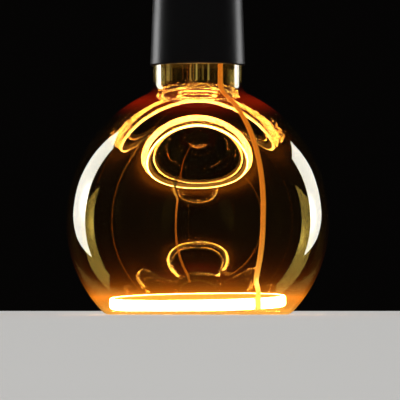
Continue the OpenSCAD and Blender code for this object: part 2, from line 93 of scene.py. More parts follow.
@dataclass(frozen=True)
class Wire:
    """An output socket of a node tree, on which sums are written as expressions."""

    bench: "Bench"
    socket: bpy.types.NodeSocket

    def _do(self, operation: str, left: "Wire | float", right: "Wire | float") -> "Wire":
        """Adds the node of one sum.

        Args:
            operation: The operation's name in Math and Vector Math nodes.
            left: The first value.
            right: The second value.

        Returns:
            The sum's result.
        """
        if {"VECTOR", "RGBA"} & {w.socket.type for w in (left, right) if isinstance(w, Wire)}:
            spread = [w if isinstance(w, Wire) else (w, w, w) for w in (left, right)]
            return self.bench.node("ShaderNodeVectorMath", {"operation": operation}, dict(enumerate(spread)))
        return self.bench.node("ShaderNodeMath", {"operation": operation}, {0: left, 1: right})

    def __add__(self, other: "Wire | float") -> "Wire":
        """This value plus another."""
        return self._do("ADD", self, other)

    def __radd__(self, other: float) -> "Wire":
        """A number plus this value."""
        return self._do("ADD", other, self)

    def __sub__(self, other: "Wire | float") -> "Wire":
        """This value less another."""
        return self._do("SUBTRACT", self, other)

    def __rsub__(self, other: float) -> "Wire":
        """A number less this value."""
        return self._do("SUBTRACT", other, self)

    def __mul__(self, other: "Wire | float") -> "Wire":
        """This value times another."""
        return self._do("MULTIPLY", self, other)

    def __rmul__(self, other: float) -> "Wire":
        """A number times this value."""
        return self._do("MULTIPLY", other, self)

    def __truediv__(self, other: "Wire | float") -> "Wire":
        """This value divided by another."""
        return self._do("DIVIDE", self, other)

    def math(self, operation: str, other: "Wire | float" = 0.0) -> "Wire":
        """The result of any other Math operation on this value, and on a second one where it takes two."""
        return self.bench.node("ShaderNodeMath", {"operation": operation}, {0: self, 1: other})

    def held(self) -> "Wire":
        """This value kept from 0 to 1."""
        return self.bench.node("ShaderNodeClamp", {}, {"Value": self})

    def axis(self, which: Axis) -> "Wire":
        """One axis of this vector."""
        return self.bench.node("ShaderNodeSeparateXYZ", {}, {0: self}, which.value)

    def other(self, output: str) -> "Wire":
        """Another output of the same node."""
        return Wire(self.bench, self.socket.node.outputs[output])


@dataclass(frozen=True)
class Cloud:
    """A cloudy pattern from 0 to 1: clouds per metre, finer layers, stretch and how far it is pulled about.

    With a gain, the pattern is multiplied by it and lowered by the cut, which leaves patches.
    """

    scale: float
    layers: float = 2.0
    stretch: Axes = (1.0, 1.0, 1.0)
    pull: float = 0.0
    gain: float = 0.0
    cut: float = 0.0


@dataclass(frozen=True)
class Bench:
    """A node tree to which nodes are added one call at a time."""

    tree: bpy.types.NodeTree

    def node(self, kind: str, settings: dict, inputs: dict, output: int | str = 0) -> Wire | None:
        """Adds a node.

        Args:
            kind: The node's type.
            settings: Its properties, which are set first.
            inputs: Its sockets by name or number, each with a value or a wire.
            output: The output to return.

        Returns:
            The output as a wire, or None on a node without outputs.
        """
        made = self.tree.nodes.new(kind)
        for name, value in settings.items():
            setattr(made, name, value)
        for key, value in inputs.items():
            if isinstance(value, Wire):
                self.tree.links.new(value.socket, made.inputs[key])
            else:
                made.inputs[key].default_value = value
        return Wire(self, made.outputs[output]) if len(made.outputs) else None

    def here(self) -> Wire:
        """The place on the piece, in its object's own coordinates."""
        return self.node("ShaderNodeTexCoord", {}, {}, "Object")

    def mark(self, name: str) -> Wire:
        """A number that the mesh stores at its points."""
        return self.node("ShaderNodeAttribute", {"attribute_name": name}, {}, "Fac")

    def ray(self, output: str) -> Wire:
        """What is known of the ray that meets the surface."""
        return self.node("ShaderNodeLightPath", {}, {}, output)

    def vector(self, x: Wire | float = 0.0, y: Wire | float = 0.0, z: Wire | float = 0.0) -> Wire:
        """A vector of three values."""
        return self.node("ShaderNodeCombineXYZ", {}, {"X": x, "Y": y, "Z": z})

    def noise(self, cloud: Cloud) -> Wire:
        """A cloudy pattern on the piece.

        Args:
            cloud: The pattern's numbers.

        Returns:
            The pattern's value.
        """
        place = self.node("ShaderNodeMapping", {}, {"Vector": self.here(), "Scale": cloud.stretch})
        sockets = {"Vector": place, "Scale": cloud.scale, "Detail": cloud.layers, "Distortion": cloud.pull}
        value = self.node("ShaderNodeTexNoise", {}, sockets)
        return (value * cloud.gain - cloud.cut).held() if cloud.gain else value

    def mix(self, share: Wire | float, first: Wire | Colour, second: Wire | Colour) -> Wire:
        """The blend of two colours, with the second one's share."""
        pair = [c if isinstance(c, Wire) else (*c, 1.0) for c in (first, second)]
        return self.node("ShaderNodeMix", {"data_type": "RGBA"}, {0: share, 6: pair[0], 7: pair[1]}, 2)

    def bump(self, height: Wire, distance: float) -> Wire:
        """A normal that follows a pattern, whose 1 stands for a height in metres."""
        return self.node("ShaderNodeBump", {}, {"Strength": 1.0, "Distance": distance, "Height": height})

    def radius(self) -> Wire:
        """The distance from the bulb's axis."""
        x, y = map(self.here().axis, (Axis.X, Axis.Y))
        return (x * x + y * y).math("SQRT")

    def turn(self) -> Wire:
        """The angle about the bulb's axis, in radians."""
        place = self.here()
        return place.axis(Axis.Y).math("ARCTAN2", place.axis(Axis.X))


def cleared(owner: bpy.types.Material | bpy.types.World) -> Bench:
    """Empties the node tree of a material or a world.

    Args:
        owner: The material or the world.

    Returns:
        The bench on which its nodes are made.
    """
    owner.use_nodes = True
    owner.node_tree.nodes.clear()
    return Bench(owner.node_tree)


def scaled(colour: Colour, share: float) -> Colour:
    """A colour times a number."""
    return tuple(c * share for c in colour)


# Finishes

@dataclass(frozen=True)
class Finish:
    """A surface of one Principled shader. Each kind of finish says what goes into the shader's sockets."""

    name: str

    def sockets(self, bench: Bench) -> dict:
        """The values and wires of the shader's sockets, by name."""
        raise NotImplementedError

    @functools.cache
    def material(self) -> bpy.types.Material:
        """The finish as a material, which is made once.

        Returns:
            The material.
        """
        material = bpy.data.materials.new(self.name + "_finish")
        bench = cleared(material)
        shader = bench.node("ShaderNodeBsdfPrincipled", {}, self.sockets(bench))
        bench.node("ShaderNodeOutputMaterial", {}, {"Surface": shader})
        return material


@dataclass(frozen=True)
class AmberGlass(Finish):
    """Blown glass with an amber metal-oxide coat.

    The coat mirrors more than plain glass, which the high index stands in for, and has a trace of haze. The
    light that the wall carries from the ring is painted on as an emission: a painted halo and tail over the
    ring's top, a painted lip at the flat face and a painted band on the shoulder. Drawn lines in the neck get
    some painted glow too.
    """

    tint: Colour = (0.80, 0.68, 0.32)
    ior: float = 2.8
    clear: float = 0.998
    swell: Cloud = Cloud(26.0, 1.0, (1.0, 1.0, 1.8))
    ripple: float = 0.000007
    lines: Cloud = Cloud(520.0, 2.0, (1.0, 1.0, 0.005))
    line_cut: float = 0.58
    line_gain: float = 9.0
    # The glow colours below paint the ring's light in the wall as an emission.
    line_glow: Colour = (0.20, 0.14, 0.035)
    drawn: float = 0.0001
    neck_from: float = 0.1085
    near_glow: Colour = (0.26, 0.070, 0.002)
    near_reach: float = 0.0024
    far_glow: Colour = (0.060, 0.008, 0.0)
    far_reach: float = 0.006
    lip_glow: Colour = (0.42, 0.20, 0.04)
    lip_reach: float = 0.003
    ring_top: float = 0.0083
    ring_low: float = 0.001
    face_r: float = 0.0405
    shoulder_glow: Colour = (0.065, 0.002, 0.0)
    shoulder_at: float = 0.101
    shoulder_half: float = 0.0036
    border: float = 0.002

    def sockets(self, bench: Bench) -> dict:
        """The glass, with the ring's glow in its wall painted on as an emission.

        Args:
            bench: Where the nodes are made.

        Returns:
            The sockets' values and wires, by name.
        """
        # Masks by height and radius that place the painted glow in the wall.
        z = bench.here().axis(Axis.Z)
        wall = ((bench.radius() - self.face_r) / self.border).held()
        beside = ((z - self.ring_low) / (self.ring_top - self.ring_low)).held()
        over = (self.ring_top - z).math("MINIMUM", 0.0)
        off = (z - self.shoulder_at) / self.shoulder_half
        in_neck = ((z - self.neck_from) / self.border).held()
        lines = bench.noise(self.lines) * in_neck
        # Painted glow: the neck's drawn lines, then a halo, a tail, a lip and a shoulder band, all painted as
        # emission.
        painted_glow = bench.mix(((lines - self.line_cut) * self.line_gain).held(), DARK, self.line_glow)
        for share, colour in (
            ((over / self.near_reach).math("EXPONENT") * beside * wall, self.near_glow),
            ((over / self.far_reach).math("EXPONENT") * beside * wall, self.far_glow),
            ((0.0 - z / self.lip_reach).math("EXPONENT") * wall, self.lip_glow),
            ((0.0 - off * off).math("EXPONENT"), self.shoulder_glow),
        ):
            painted_glow = painted_glow + bench.mix(share, DARK, colour)
        relief = bench.noise(self.swell) * (self.ripple / self.drawn) + lines
        return {
            "Base Color": (*self.tint, 1.0), "Roughness": 0.0, "IOR": self.ior,
            "Transmission Weight": self.clear, "Emission Color": painted_glow, "Emission Strength": 1.0,
            "Normal": bench.bump(relief, self.drawn),
        }


@dataclass(frozen=True)
class LitPhosphor(Finish):
    """Phosphor silicone that glows, a little brighter over each chip and brightest at its rounded edges."""

    body: Colour
    face: Colour
    edge: Colour = (1.0, 0.53, 0.25)
    strength: float = 105.0
    chips: int = 72
    dip: float = 0.25
    beat_share: float = 0.6
    cloud: Cloud = Cloud(900.0, 3.0)
    dark: float = 0.9
    rough: float = 0.45
    cloud_rough: float = 0.2
    skin: Cloud = Cloud(1400.0)
    depth: float = 0.00004

    def sockets(self, bench: Bench) -> dict:
        """The silicone, with its light as an emission.

        Args:
            bench: Where the nodes are made.

        Returns:
            The sockets' values and wires, by name.
        """
        beat = ((bench.turn() * self.chips).math("COSINE") + 1.0) * 0.5
        cloud = bench.noise(self.cloud)
        lively = (beat * self.beat_share + cloud * (1.0 - self.beat_share)).held()
        face = bench.mix(lively, scaled(self.face, 1.0 - self.dip), self.face)
        return {
            "Base Color": bench.mix(cloud, scaled(self.body, self.dark), self.body),
            "Roughness": self.rough + cloud * self.cloud_rough,
            "Emission Color": bench.mix(bench.mark(EDGE), face, self.edge),
            "Emission Strength": self.strength,
            "Normal": bench.bump(bench.noise(self.skin), self.depth),
        }


@dataclass(frozen=True)
class Film(Finish):
    """Amber polyimide film over copper tracks, shown as two darker lines. It has a painted glow, brightest
    near the ring.
    """

    colour: Colour
    deep: Colour
    # Painted glow: the strength and share of the film's colour painted as an emission, and the colour painted
    # near the ring.
    glow: float
    share: float = 0.42
    ring_glow: Colour = (0.95, 0.62, 0.20)
    ring_z: float = 0.008
    reach: float = 0.011
    track_at: float = 0.0006
    track_w: float = 0.0007
    blur: float = 0.00012
    streak: Cloud = Cloud(420.0, 3.0, (1.0, 1.0, 0.15))
    streak_share: float = 0.6
    streak_cut: float = 0.1
    track_share: float = 0.6
    rough: float = 0.28
    streak_rough: float = 0.2
    gloss: float = 0.4
    skin: Cloud = Cloud(700.0, 2.0, (1.0, 1.0, 0.3))
    depth: float = 0.00003

    def sockets(self, bench: Bench) -> dict:
        """The film, with the light that it carries as an emission.

        Args:
            bench: Where the nodes are made.

        Returns:
            The film, with its painted glow as an emission.
        """
        streak = bench.noise(self.streak)
        off = (bench.mark(ACROSS).math("ABSOLUTE") - self.track_at).math("ABSOLUTE")
        track = ((self.track_w / 2 - off) / self.blur + 0.5).held()
        deeper = (streak * self.streak_share - self.streak_cut + track * self.track_share).held()
        colour = bench.mix(deeper, self.colour, self.deep)
        # Painted glow, brighter near the ring, in place of the ring's light shining through the film.
        over = (bench.here().axis(Axis.Z) - self.ring_z).math("MAXIMUM", 0.0)
        near = (0.0 - over / self.reach).math("EXPONENT")
        return {
            "Base Color": colour, "Roughness": self.rough + streak * self.streak_rough,
            "Specular IOR Level": self.gloss, "Emission Strength": self.glow,
            "Emission Color": bench.mix(near, bench.mix(self.share, DARK, colour), self.ring_glow),
            "Normal": bench.bump(bench.noise(self.skin), self.depth),
        }


@dataclass(frozen=True)
class Moulded(Finish):
    """Moulded plastic, resin or ceramic with a fine spark-eroded grain."""

    colour: Colour
    rough: float = 0.5
    grain: float = 2600.0
    depth: float = 0.00002
    wear: float = 0.25
    coat: float = 0.0
    coat_rough: float = 0.12
    cloud: Cloud = Cloud(70.0, 4.0)
    rub: Cloud = Cloud(240.0, 5.0, (1.0, 1.0, 0.4), gain=2.0, cut=0.6)
    smoother: float = 0.06
    grain_rough: float = 0.08
    rub_rough: float = 0.06

    def sockets(self, bench: Bench) -> dict:
        """The moulding, with clouds in its colour and rubbed patches in its gloss.

        Args:
            bench: Where the nodes are made.

        Returns:
            The sockets' values and wires, by name.
        """
        fine = bench.noise(Cloud(self.grain))
        dull = bench.noise(self.rub) * self.rub_rough
        worn = scaled(self.colour, 1.0 - self.wear)
        return {
            "Base Color": bench.mix(bench.noise(self.cloud), worn, self.colour),
            "Roughness": (self.rough - self.smoother) + fine * self.grain_rough + dull,
            "Coat Weight": self.coat, "Coat Roughness": self.coat_rough,
            "Normal": bench.bump(fine, self.depth),
        }


@dataclass(frozen=True)
class Metal(Finish):
    """Plated, stamped or drawn metal, with faint turning lines and dull patches."""

    colour: Colour
    dull: Colour
    rough: float = 0.25
    lines: Cloud = Cloud(5200.0, 2.0, (0.03, 0.03, 1.0))
    depth: float = 0.000006
    patch: Cloud = Cloud(160.0, 5.0, pull=0.6, gain=2.2, cut=0.7)
    speck: Cloud = Cloud(1500.0, 3.0, gain=3.0, cut=1.6)
    patch_share: float = 0.7
    speck_height: float = 0.5
    patch_rough: float = 0.14
    speck_rough: float = 0.08
    line_rough: float = 0.06

    def sockets(self, bench: Bench) -> dict:
        """The metal, with its patches, specks and lines.

        Args:
            bench: Where the nodes are made.

        Returns:
            The sockets' values and wires, by name.
        """
        patch, drawn, speck = (bench.noise(cloud) for cloud in (self.patch, self.lines, self.speck))
        rough = self.rough + patch * self.patch_rough + speck * self.speck_rough + drawn * self.line_rough
        return {
            "Base Color": bench.mix(patch * self.patch_share, self.colour, self.dull), "Metallic": 1.0,
            "Roughness": rough, "Normal": bench.bump(drawn + speck * self.speck_height, self.depth),
        }


@dataclass(frozen=True)
class Laminate(Finish):
    """Board laminate under solder mask, with its weave just showing."""

    colour: Colour
    weave: float = 1100.0
    cloud: Cloud = Cloud(120.0, 3.0)
    weave_share: float = 0.4
    dark: float = 0.7
    rough: float = 0.35
    cloud_rough: float = 0.15
    depth: float = 0.00001

    def sockets(self, bench: Bench) -> dict:
        """The laminate, with the weave as two crossed waves.

        Args:
            bench: Where the nodes are made.

        Returns:
            The sockets' values and wires, by name.
        """
        place = bench.here()
        warp, weft = ((place.axis(a) * (self.weave * math.tau)).math("SINE") for a in (Axis.X, Axis.Y))
        cloth = (warp * weft + 1.0) * 0.5
        cloud = bench.noise(self.cloud)
        share = (cloth * self.weave_share + cloud * (1.0 - self.weave_share)).held()
        return {
            "Base Color": bench.mix(share, scaled(self.colour, self.dark), self.colour),
            "Roughness": self.rough + cloud * self.cloud_rough, "Normal": bench.bump(cloth, self.depth),
        }


GLASS = AmberGlass("amber_glass")
OUTER_GLOW = LitPhosphor("outer_phosphor", (1.0, 0.80, 0.45), (1.0, 0.53, 0.25))
INNER_GLOW = LitPhosphor("inner_phosphor", (1.0, 0.66, 0.25), (0.014, 0.0065, 0.0018))
FILM = Film("amber_film", (0.95, 0.33, 0.045), (0.80, 0.23, 0.028), 3.0)
COPPER = Metal("copper", (0.95, 0.52, 0.34), (0.62, 0.30, 0.18), 0.3)
CUFF = Moulded("clear_silicone", (0.95, 0.82, 0.55), 0.4, 1500.0, 0.00002, 0.1)
STRIP = Moulded("strip_ceramic", (0.88, 0.84, 0.70), 0.5)
CHIP = Moulded("chip_resin", (0.95, 0.80, 0.25), 0.3, coat=0.3)
TINNED = Metal("tinned_metal", (0.78, 0.77, 0.74), (0.52, 0.51, 0.49), 0.34)
CEMENT = Moulded("cement", (0.70, 0.67, 0.60), 0.85, 1800.0, 0.00006, 0.3)
PLUG = Moulded("plug_plastic", (0.05, 0.035, 0.025), 0.55)
BLACK = Moulded("black_housing", (0.006, 0.006, 0.0065), 0.30, 3200.0, 0.00002, 0.35)
BOARD = Laminate("board_laminate", (0.06, 0.26, 0.11))
RESIN = Moulded("black_resin", (0.03, 0.03, 0.032), 0.45)
SLEEVE = Moulded("capacitor_sleeve", (0.04, 0.05, 0.16), 0.25, coat=0.4)
FERRITE = Moulded("ferrite", (0.09, 0.09, 0.095), 0.7, 2200.0, 0.00004)
DIPPED = Moulded("red_resin", (0.52, 0.07, 0.035), 0.22, 500.0, 0.00006, coat=0.5)
LACQUER = Moulded("resistor_body", (0.36, 0.50, 0.58), 0.35)
BROWN = Moulded("brown_wire", (0.22, 0.09, 0.04), 0.4)
BLUE = Moulded("blue_wire", (0.05, 0.14, 0.46), 0.4)
NICKEL = Metal("nickel_sheet", (0.80, 0.77, 0.72), (0.55, 0.52, 0.47), 0.2)
VITREOUS = Moulded("black_glass", (0.012, 0.011, 0.012), 0.12, 900.0, 0.00003, 0.3, 0.6)
STAMPED = Metal("contact_metal", (0.88, 0.70, 0.40), (0.58, 0.42, 0.22), 0.26)


# Meshes

def arc(centre: Place, r: float, start: float, end: float, count: int) -> list[Place]:
    """Points of an arc in an outline, with both ends. Its angles are in degrees from the bulb's axis."""
    angles = (math.radians(start + (end - start) * i / count) for i in range(count + 1))
    return [(centre[0] + r * math.sin(a), centre[1] + r * math.cos(a)) for a in angles]


def straight(start: Place, end: Place, count: int = 4, close: float = 0.12 * MM) -> list[Place]:
    """Points between the ends of a straight stretch, close to the ends too, so that it shades flat.

    Args:
        start: The stretch's first point, which isn't returned.
        end: Its last point, which isn't returned either.
        count: The number of even steps.
        close: How far from the ends the first and last points lie.

    Returns:
        The points.
    """
    length = math.dist(start, end)
    shares = [close / length, *(i / count for i in range(1, count)), 1 - close / length]
    return [(start[0] + (end[0] - start[0]) * s, start[1] + (end[1] - start[1]) * s) for s in shares]


def curve(start: Vector, leave: Vector, arrive: Vector, end: Vector, share: float) -> Vector:
    """A point, at a share from 0 to 1, of a curve that leaves towards one point and arrives from another."""
    rest = 1 - share
    return (
        rest ** 3 * start + 3 * rest ** 2 * share * leave
        + 3 * rest * share * share * arrive + share ** 3 * end
    )


def sections_along(stops: list[Stop], section: list[Place]) -> list[list[Vector]]:
    """A section set square to a path at each of its stops.

    Args:
        stops: Each stop's place, and the direction to which the section's second number is turned.
        section: The section's points, as distance across the path and along that direction.

    Returns:
        The points of the section at each stop.
    """
    rings = []
    for i, (place, lean) in enumerate(stops):
        ahead = (stops[min(i + 1, len(stops) - 1)][0] - stops[max(i - 1, 0)][0]).normalized()
        across = ahead.cross(lean).normalized()
        out = across.cross(ahead)
        rings.append([place + u * across + v * out for u, v in section])
    return rings


def finish_mesh(mesh: bpy.types.Mesh, finish: Finish) -> None:
    """Gives a mesh one finish in place of any others."""
    mesh.materials.clear()
    mesh.materials.append(finish.material())


def object_of(name: str, mesh: bpy.types.Mesh, finish: Finish | None = None) -> bpy.types.Object:
    """Shows a mesh as an object at the origin.

    Args:
        name: The object's name.
        mesh: The mesh.
        finish: Its finish, or None where it keeps what it has.

    Returns:
        The object.
    """
    made = bpy.data.objects.new(name, mesh)
    bpy.context.scene.collection.objects.link(made)
    if finish is not None:
        finish_mesh(mesh, finish)
    return made


def smooth(mesh: bpy.types.Mesh, crease: float) -> None:
    """Shades a mesh smooth, apart from edges sharper than an angle in degrees."""
    mesh.polygons.foreach_set("use_smooth", [True] * len(mesh.polygons))
    mesh.set_sharp_from_angle(angle=math.radians(crease))


def closed_mesh(name: str, shape: bmesh.types.BMesh, crease: float) -> bpy.types.Mesh:
    """Ends the making of a closed shape.

    Args:
        name: The mesh's name.
        shape: The shape, which is used up.
        crease: The angle in degrees past which an edge stays sharp.

    Returns:
        The mesh, with its faces outward.
    """
    bmesh.ops.recalc_face_normals(shape, faces=shape.faces)
    mesh = bpy.data.meshes.new(name)
    shape.to_mesh(mesh)
    shape.free()
    smooth(mesh, crease)
    return mesh


def lathe_mesh(name: str, profile: list[Place], segments: int, crease: float = CREASE) -> bpy.types.Mesh:
    """A closed mesh turned about the bulb's axis.

    Args:
        name: The mesh's name.
        profile: The closed section's points in order, as distance from the axis and height.
        segments: Steps round the axis.
        crease: The angle in degrees past which an edge stays sharp.

    Returns:
        The mesh.
    """
    on_axis = 1e-7
    shape = bmesh.new()
    rings = []
    for r, z in profile:
        if r < on_axis:
            rings.append([shape.verts.new((0.0, 0.0, z))])
            continue
        turns = (math.tau * k / segments for k in range(segments))
        rings.append([shape.verts.new((r * math.cos(a), r * math.sin(a), z)) for a in turns])
    for near, far in zip(rings, rings[1:] + rings[:1]):
        for k in range(segments):
            n = (k + 1) % segments
            corners = [near[k % len(near)], near[n % len(near)], far[n % len(far)], far[k % len(far)]]
            corners = list(dict.fromkeys(corners))
            if len(corners) > 2:
                shape.faces.new(corners)
    return closed_mesh(name, shape, crease)


def sweep_mesh(name: str, rings: list[list[Vector]], crease: float = CREASE) -> bpy.types.Mesh:
    """A closed mesh through a row of like sections, with flat ends.

    Args:
        name: The mesh's name.
        rings: The sections' points, all in the same order.
        crease: The angle in degrees past which an edge stays sharp.

    Returns:
        The mesh.
    """
    shape = bmesh.new()
    rows = [[shape.verts.new(p) for p in ring] for ring in rings]
    count = len(rows[0])
    for near, far in zip(rows, rows[1:]):
        for k in range(count):
            n = (k + 1) % count
            shape.faces.new((near[k], near[n], far[n], far[k]))
    shape.faces.new(rows[0][::-1])
    shape.faces.new(rows[-1])
    return closed_mesh(name, shape, crease)


def mark_points(mesh: bpy.types.Mesh, name: str, values: list[float]) -> None:
    """Stores numbers at the points of a swept mesh, the same at each of its sections."""
    mark = mesh.attributes.new(name, "FLOAT", "POINT")
    mark.data.foreach_set("value", [values[i % len(values)] for i in range(len(mesh.vertices))])


def settle(piece: bpy.types.Object, slot: str, *nodes: str) -> bpy.types.Object:
    """Says where a finished piece belongs.

    Args:
        piece: The piece, at the origin.
        slot: The record's material slot, which is not used.
        nodes: The CAD nodes that it stands for.

    Returns:
        The piece.
    """
    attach(piece, BODY)
    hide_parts(*nodes)
    log.info("%s: %d faces, stands for %s", piece.name, len(piece.data.polygons), ", ".join(nodes))
    return piece


def dress(node: str, finish: Finish) -> None:
    """Gives a CAD node that keeps its own mesh a finish.

    Args:
        node: The node.
        finish: The finish.
    """
    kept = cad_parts[node]
    if not kept.material_slots:
        kept.data.materials.append(None)
    for place in kept.material_slots:
        place.material = finish.material()
    log.info("%s: kept from the frame, in %s", node, finish.material().name)


class NodeShape:
    """A Geometry Nodes tree with named sizes, whose result becomes a plain mesh."""

    def __init__(self, name: str) -> None:
        """Starts the tree, which takes a mesh and gives one back.

        Args:
            name: The name of the tree and of the piece that it makes.
        """
        self.name = name
        self.bench = Bench(bpy.data.node_groups.new(name, "GeometryNodeTree"))
        for way in ("INPUT", "OUTPUT"):
            self.bench.tree.interface.new_socket("Geometry", in_out=way, socket_type="NodeSocketGeometry")
        self.values: dict[str, float] = {}
        self.entry = self.bench.node("NodeGroupInput", {}, {}, "Geometry")

    def size(self, name: str, value: float) -> Wire:
        """Adds a named size and its value.

        Args:
            name: The size's name.
            value: Its value, a whole number for a count.

        Returns:
            The size inside the tree.
        """
        kind = "NodeSocketInt" if isinstance(value, int) else "NodeSocketFloat"
        made = self.bench.tree.interface.new_socket(name, in_out="INPUT", socket_type=kind)
        self.values[made.identifier] = value
        return self.entry.other(name)

    def bake(
        self, result: Wire, finish: Finish, base: bpy.types.Mesh | None = None, crease: float = CREASE
    ) -> bpy.types.Object:
        """Runs the tree and keeps what it makes.

        Args:
            result: The tree's last geometry.
            finish: The finish of the piece.
            base: The mesh that the tree starts from.
            crease: The angle in degrees past which an edge stays sharp.

        Returns:
            The piece, with no modifier left on it.
        """
        bench = self.bench
        real = bench.node("GeometryNodeRealizeInstances", {}, {0: result})
        painted = bench.node("GeometryNodeSetMaterial", {}, {"Geometry": real, "Material": finish.material()})
        bench.node("NodeGroupOutput", {}, {0: painted})
        piece = object_of(self.name, base or bpy.data.meshes.new(self.name + "_start"))
        shaper = piece.modifiers.new("shape", "NODES")
        shaper.node_group = bench.tree
        for identifier, value in self.values.items():
            shaper[identifier] = value
        bpy.context.view_layer.update()
        ready = piece.evaluated_get(bpy.context.evaluated_depsgraph_get())
        mesh = bpy.data.meshes.new_from_object(ready)
        piece.modifiers.remove(shaper)
        piece.data = mesh
        finish_mesh(mesh, finish)
        smooth(mesh, crease)
        return piece


# The bulb's sub-assemblies

def half_width(node: str) -> float:
    """Half a CAD node's size along X."""
    low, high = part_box(node)
    return (high.x - low.x) / 2


@dataclass
class GlassGlobe:
    """The glass: a ball cut flat below, a fuller arc above, a hollow throat and a straight neck."""

    ball_r: float = half_width("globe_glass")
    neck_top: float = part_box("globe_glass")[1].z
    rise: float = 44.5 * MM
    shoulder_r: float = 66.5 * MM
    corner_r: float = 5 * MM
    wall: float = 1 * MM
    neck_r: float = 21 * MM
    throat_r: float = 5.5 * MM
    segments: int = 176
    throat_steps: int = 14
    shoulder_steps: int = 52
    ball_steps: int = 26
    corner_steps: int = 12
    end_steps: int = 6
    crease: float = 60.0

    def __post_init__(self) -> None:
        """Works out the centres and angles of the outline's arcs."""
        self.shoulder_off = self.shoulder_r - self.ball_r
        self.corner_x = math.sqrt((self.ball_r - self.corner_r) ** 2 - (self.rise - self.corner_r) ** 2)
        self.corner_a = 90 + math.degrees(math.atan2(self.rise - self.corner_r, self.corner_x))
        self.throat_x = self.neck_r + self.throat_r
        reach = self.throat_x + self.shoulder_off
        up = math.sqrt((self.shoulder_r + self.throat_r) ** 2 - reach ** 2)
        self.throat_z = self.rise + up
        self.throat_a = math.degrees(math.atan2(reach, up))

    def outline(self, t: float) -> list[Place]:
        """The outline from the neck's end to the flat face.

        Args:
            t: How far it is moved inwards.

        Returns:
            Its points.
        """
        hollow, middle = (self.throat_x, self.throat_z), (-self.shoulder_off, self.rise)
        throat = arc(hollow, self.throat_r + t, -90, self.throat_a - 180, self.throat_steps)
        shoulder = arc(middle, self.shoulder_r - t, self.throat_a, 90, self.shoulder_steps)
        ball = arc((0.0, self.rise), self.ball_r - t, 90, self.corner_a, self.ball_steps)
        corner = arc((self.corner_x, self.corner_r), self.corner_r - t, self.corner_a, 180, self.corner_steps)
        neck = straight((self.neck_r - t, self.neck_top - self.wall / 2), throat[0])
        return [*neck, *throat, *shoulder[1:], *ball[1:], *corner[1:]]

    def section(self) -> list[Place]:
        """The wall's closed section, with the neck's fire-rounded end.

        Returns:
            Its points.
        """
        round_r = self.wall / 2
        end = arc((self.neck_r - round_r, self.neck_top - round_r), round_r, -90, 90, self.end_steps)
        under, over = (0.0, 0.0), (0.0, self.wall)
        return [
            *end, *self.outline(0.0), *straight((self.corner_x, 0.0), under), under,
            over, *straight(over, (self.corner_x, self.wall)), *reversed(self.outline(self.wall)),
        ]

    def build(self) -> None:
        """Makes the glass and settles it. Lamps light what is inside it, so it casts no shadow."""
        mesh = lathe_mesh("glass_globe", self.section(), self.segments, self.crease)
        piece = object_of("glass_globe", mesh, GLASS)
        piece.visible_shadow = False
        settle(piece, "amber_glass", "globe_glass")


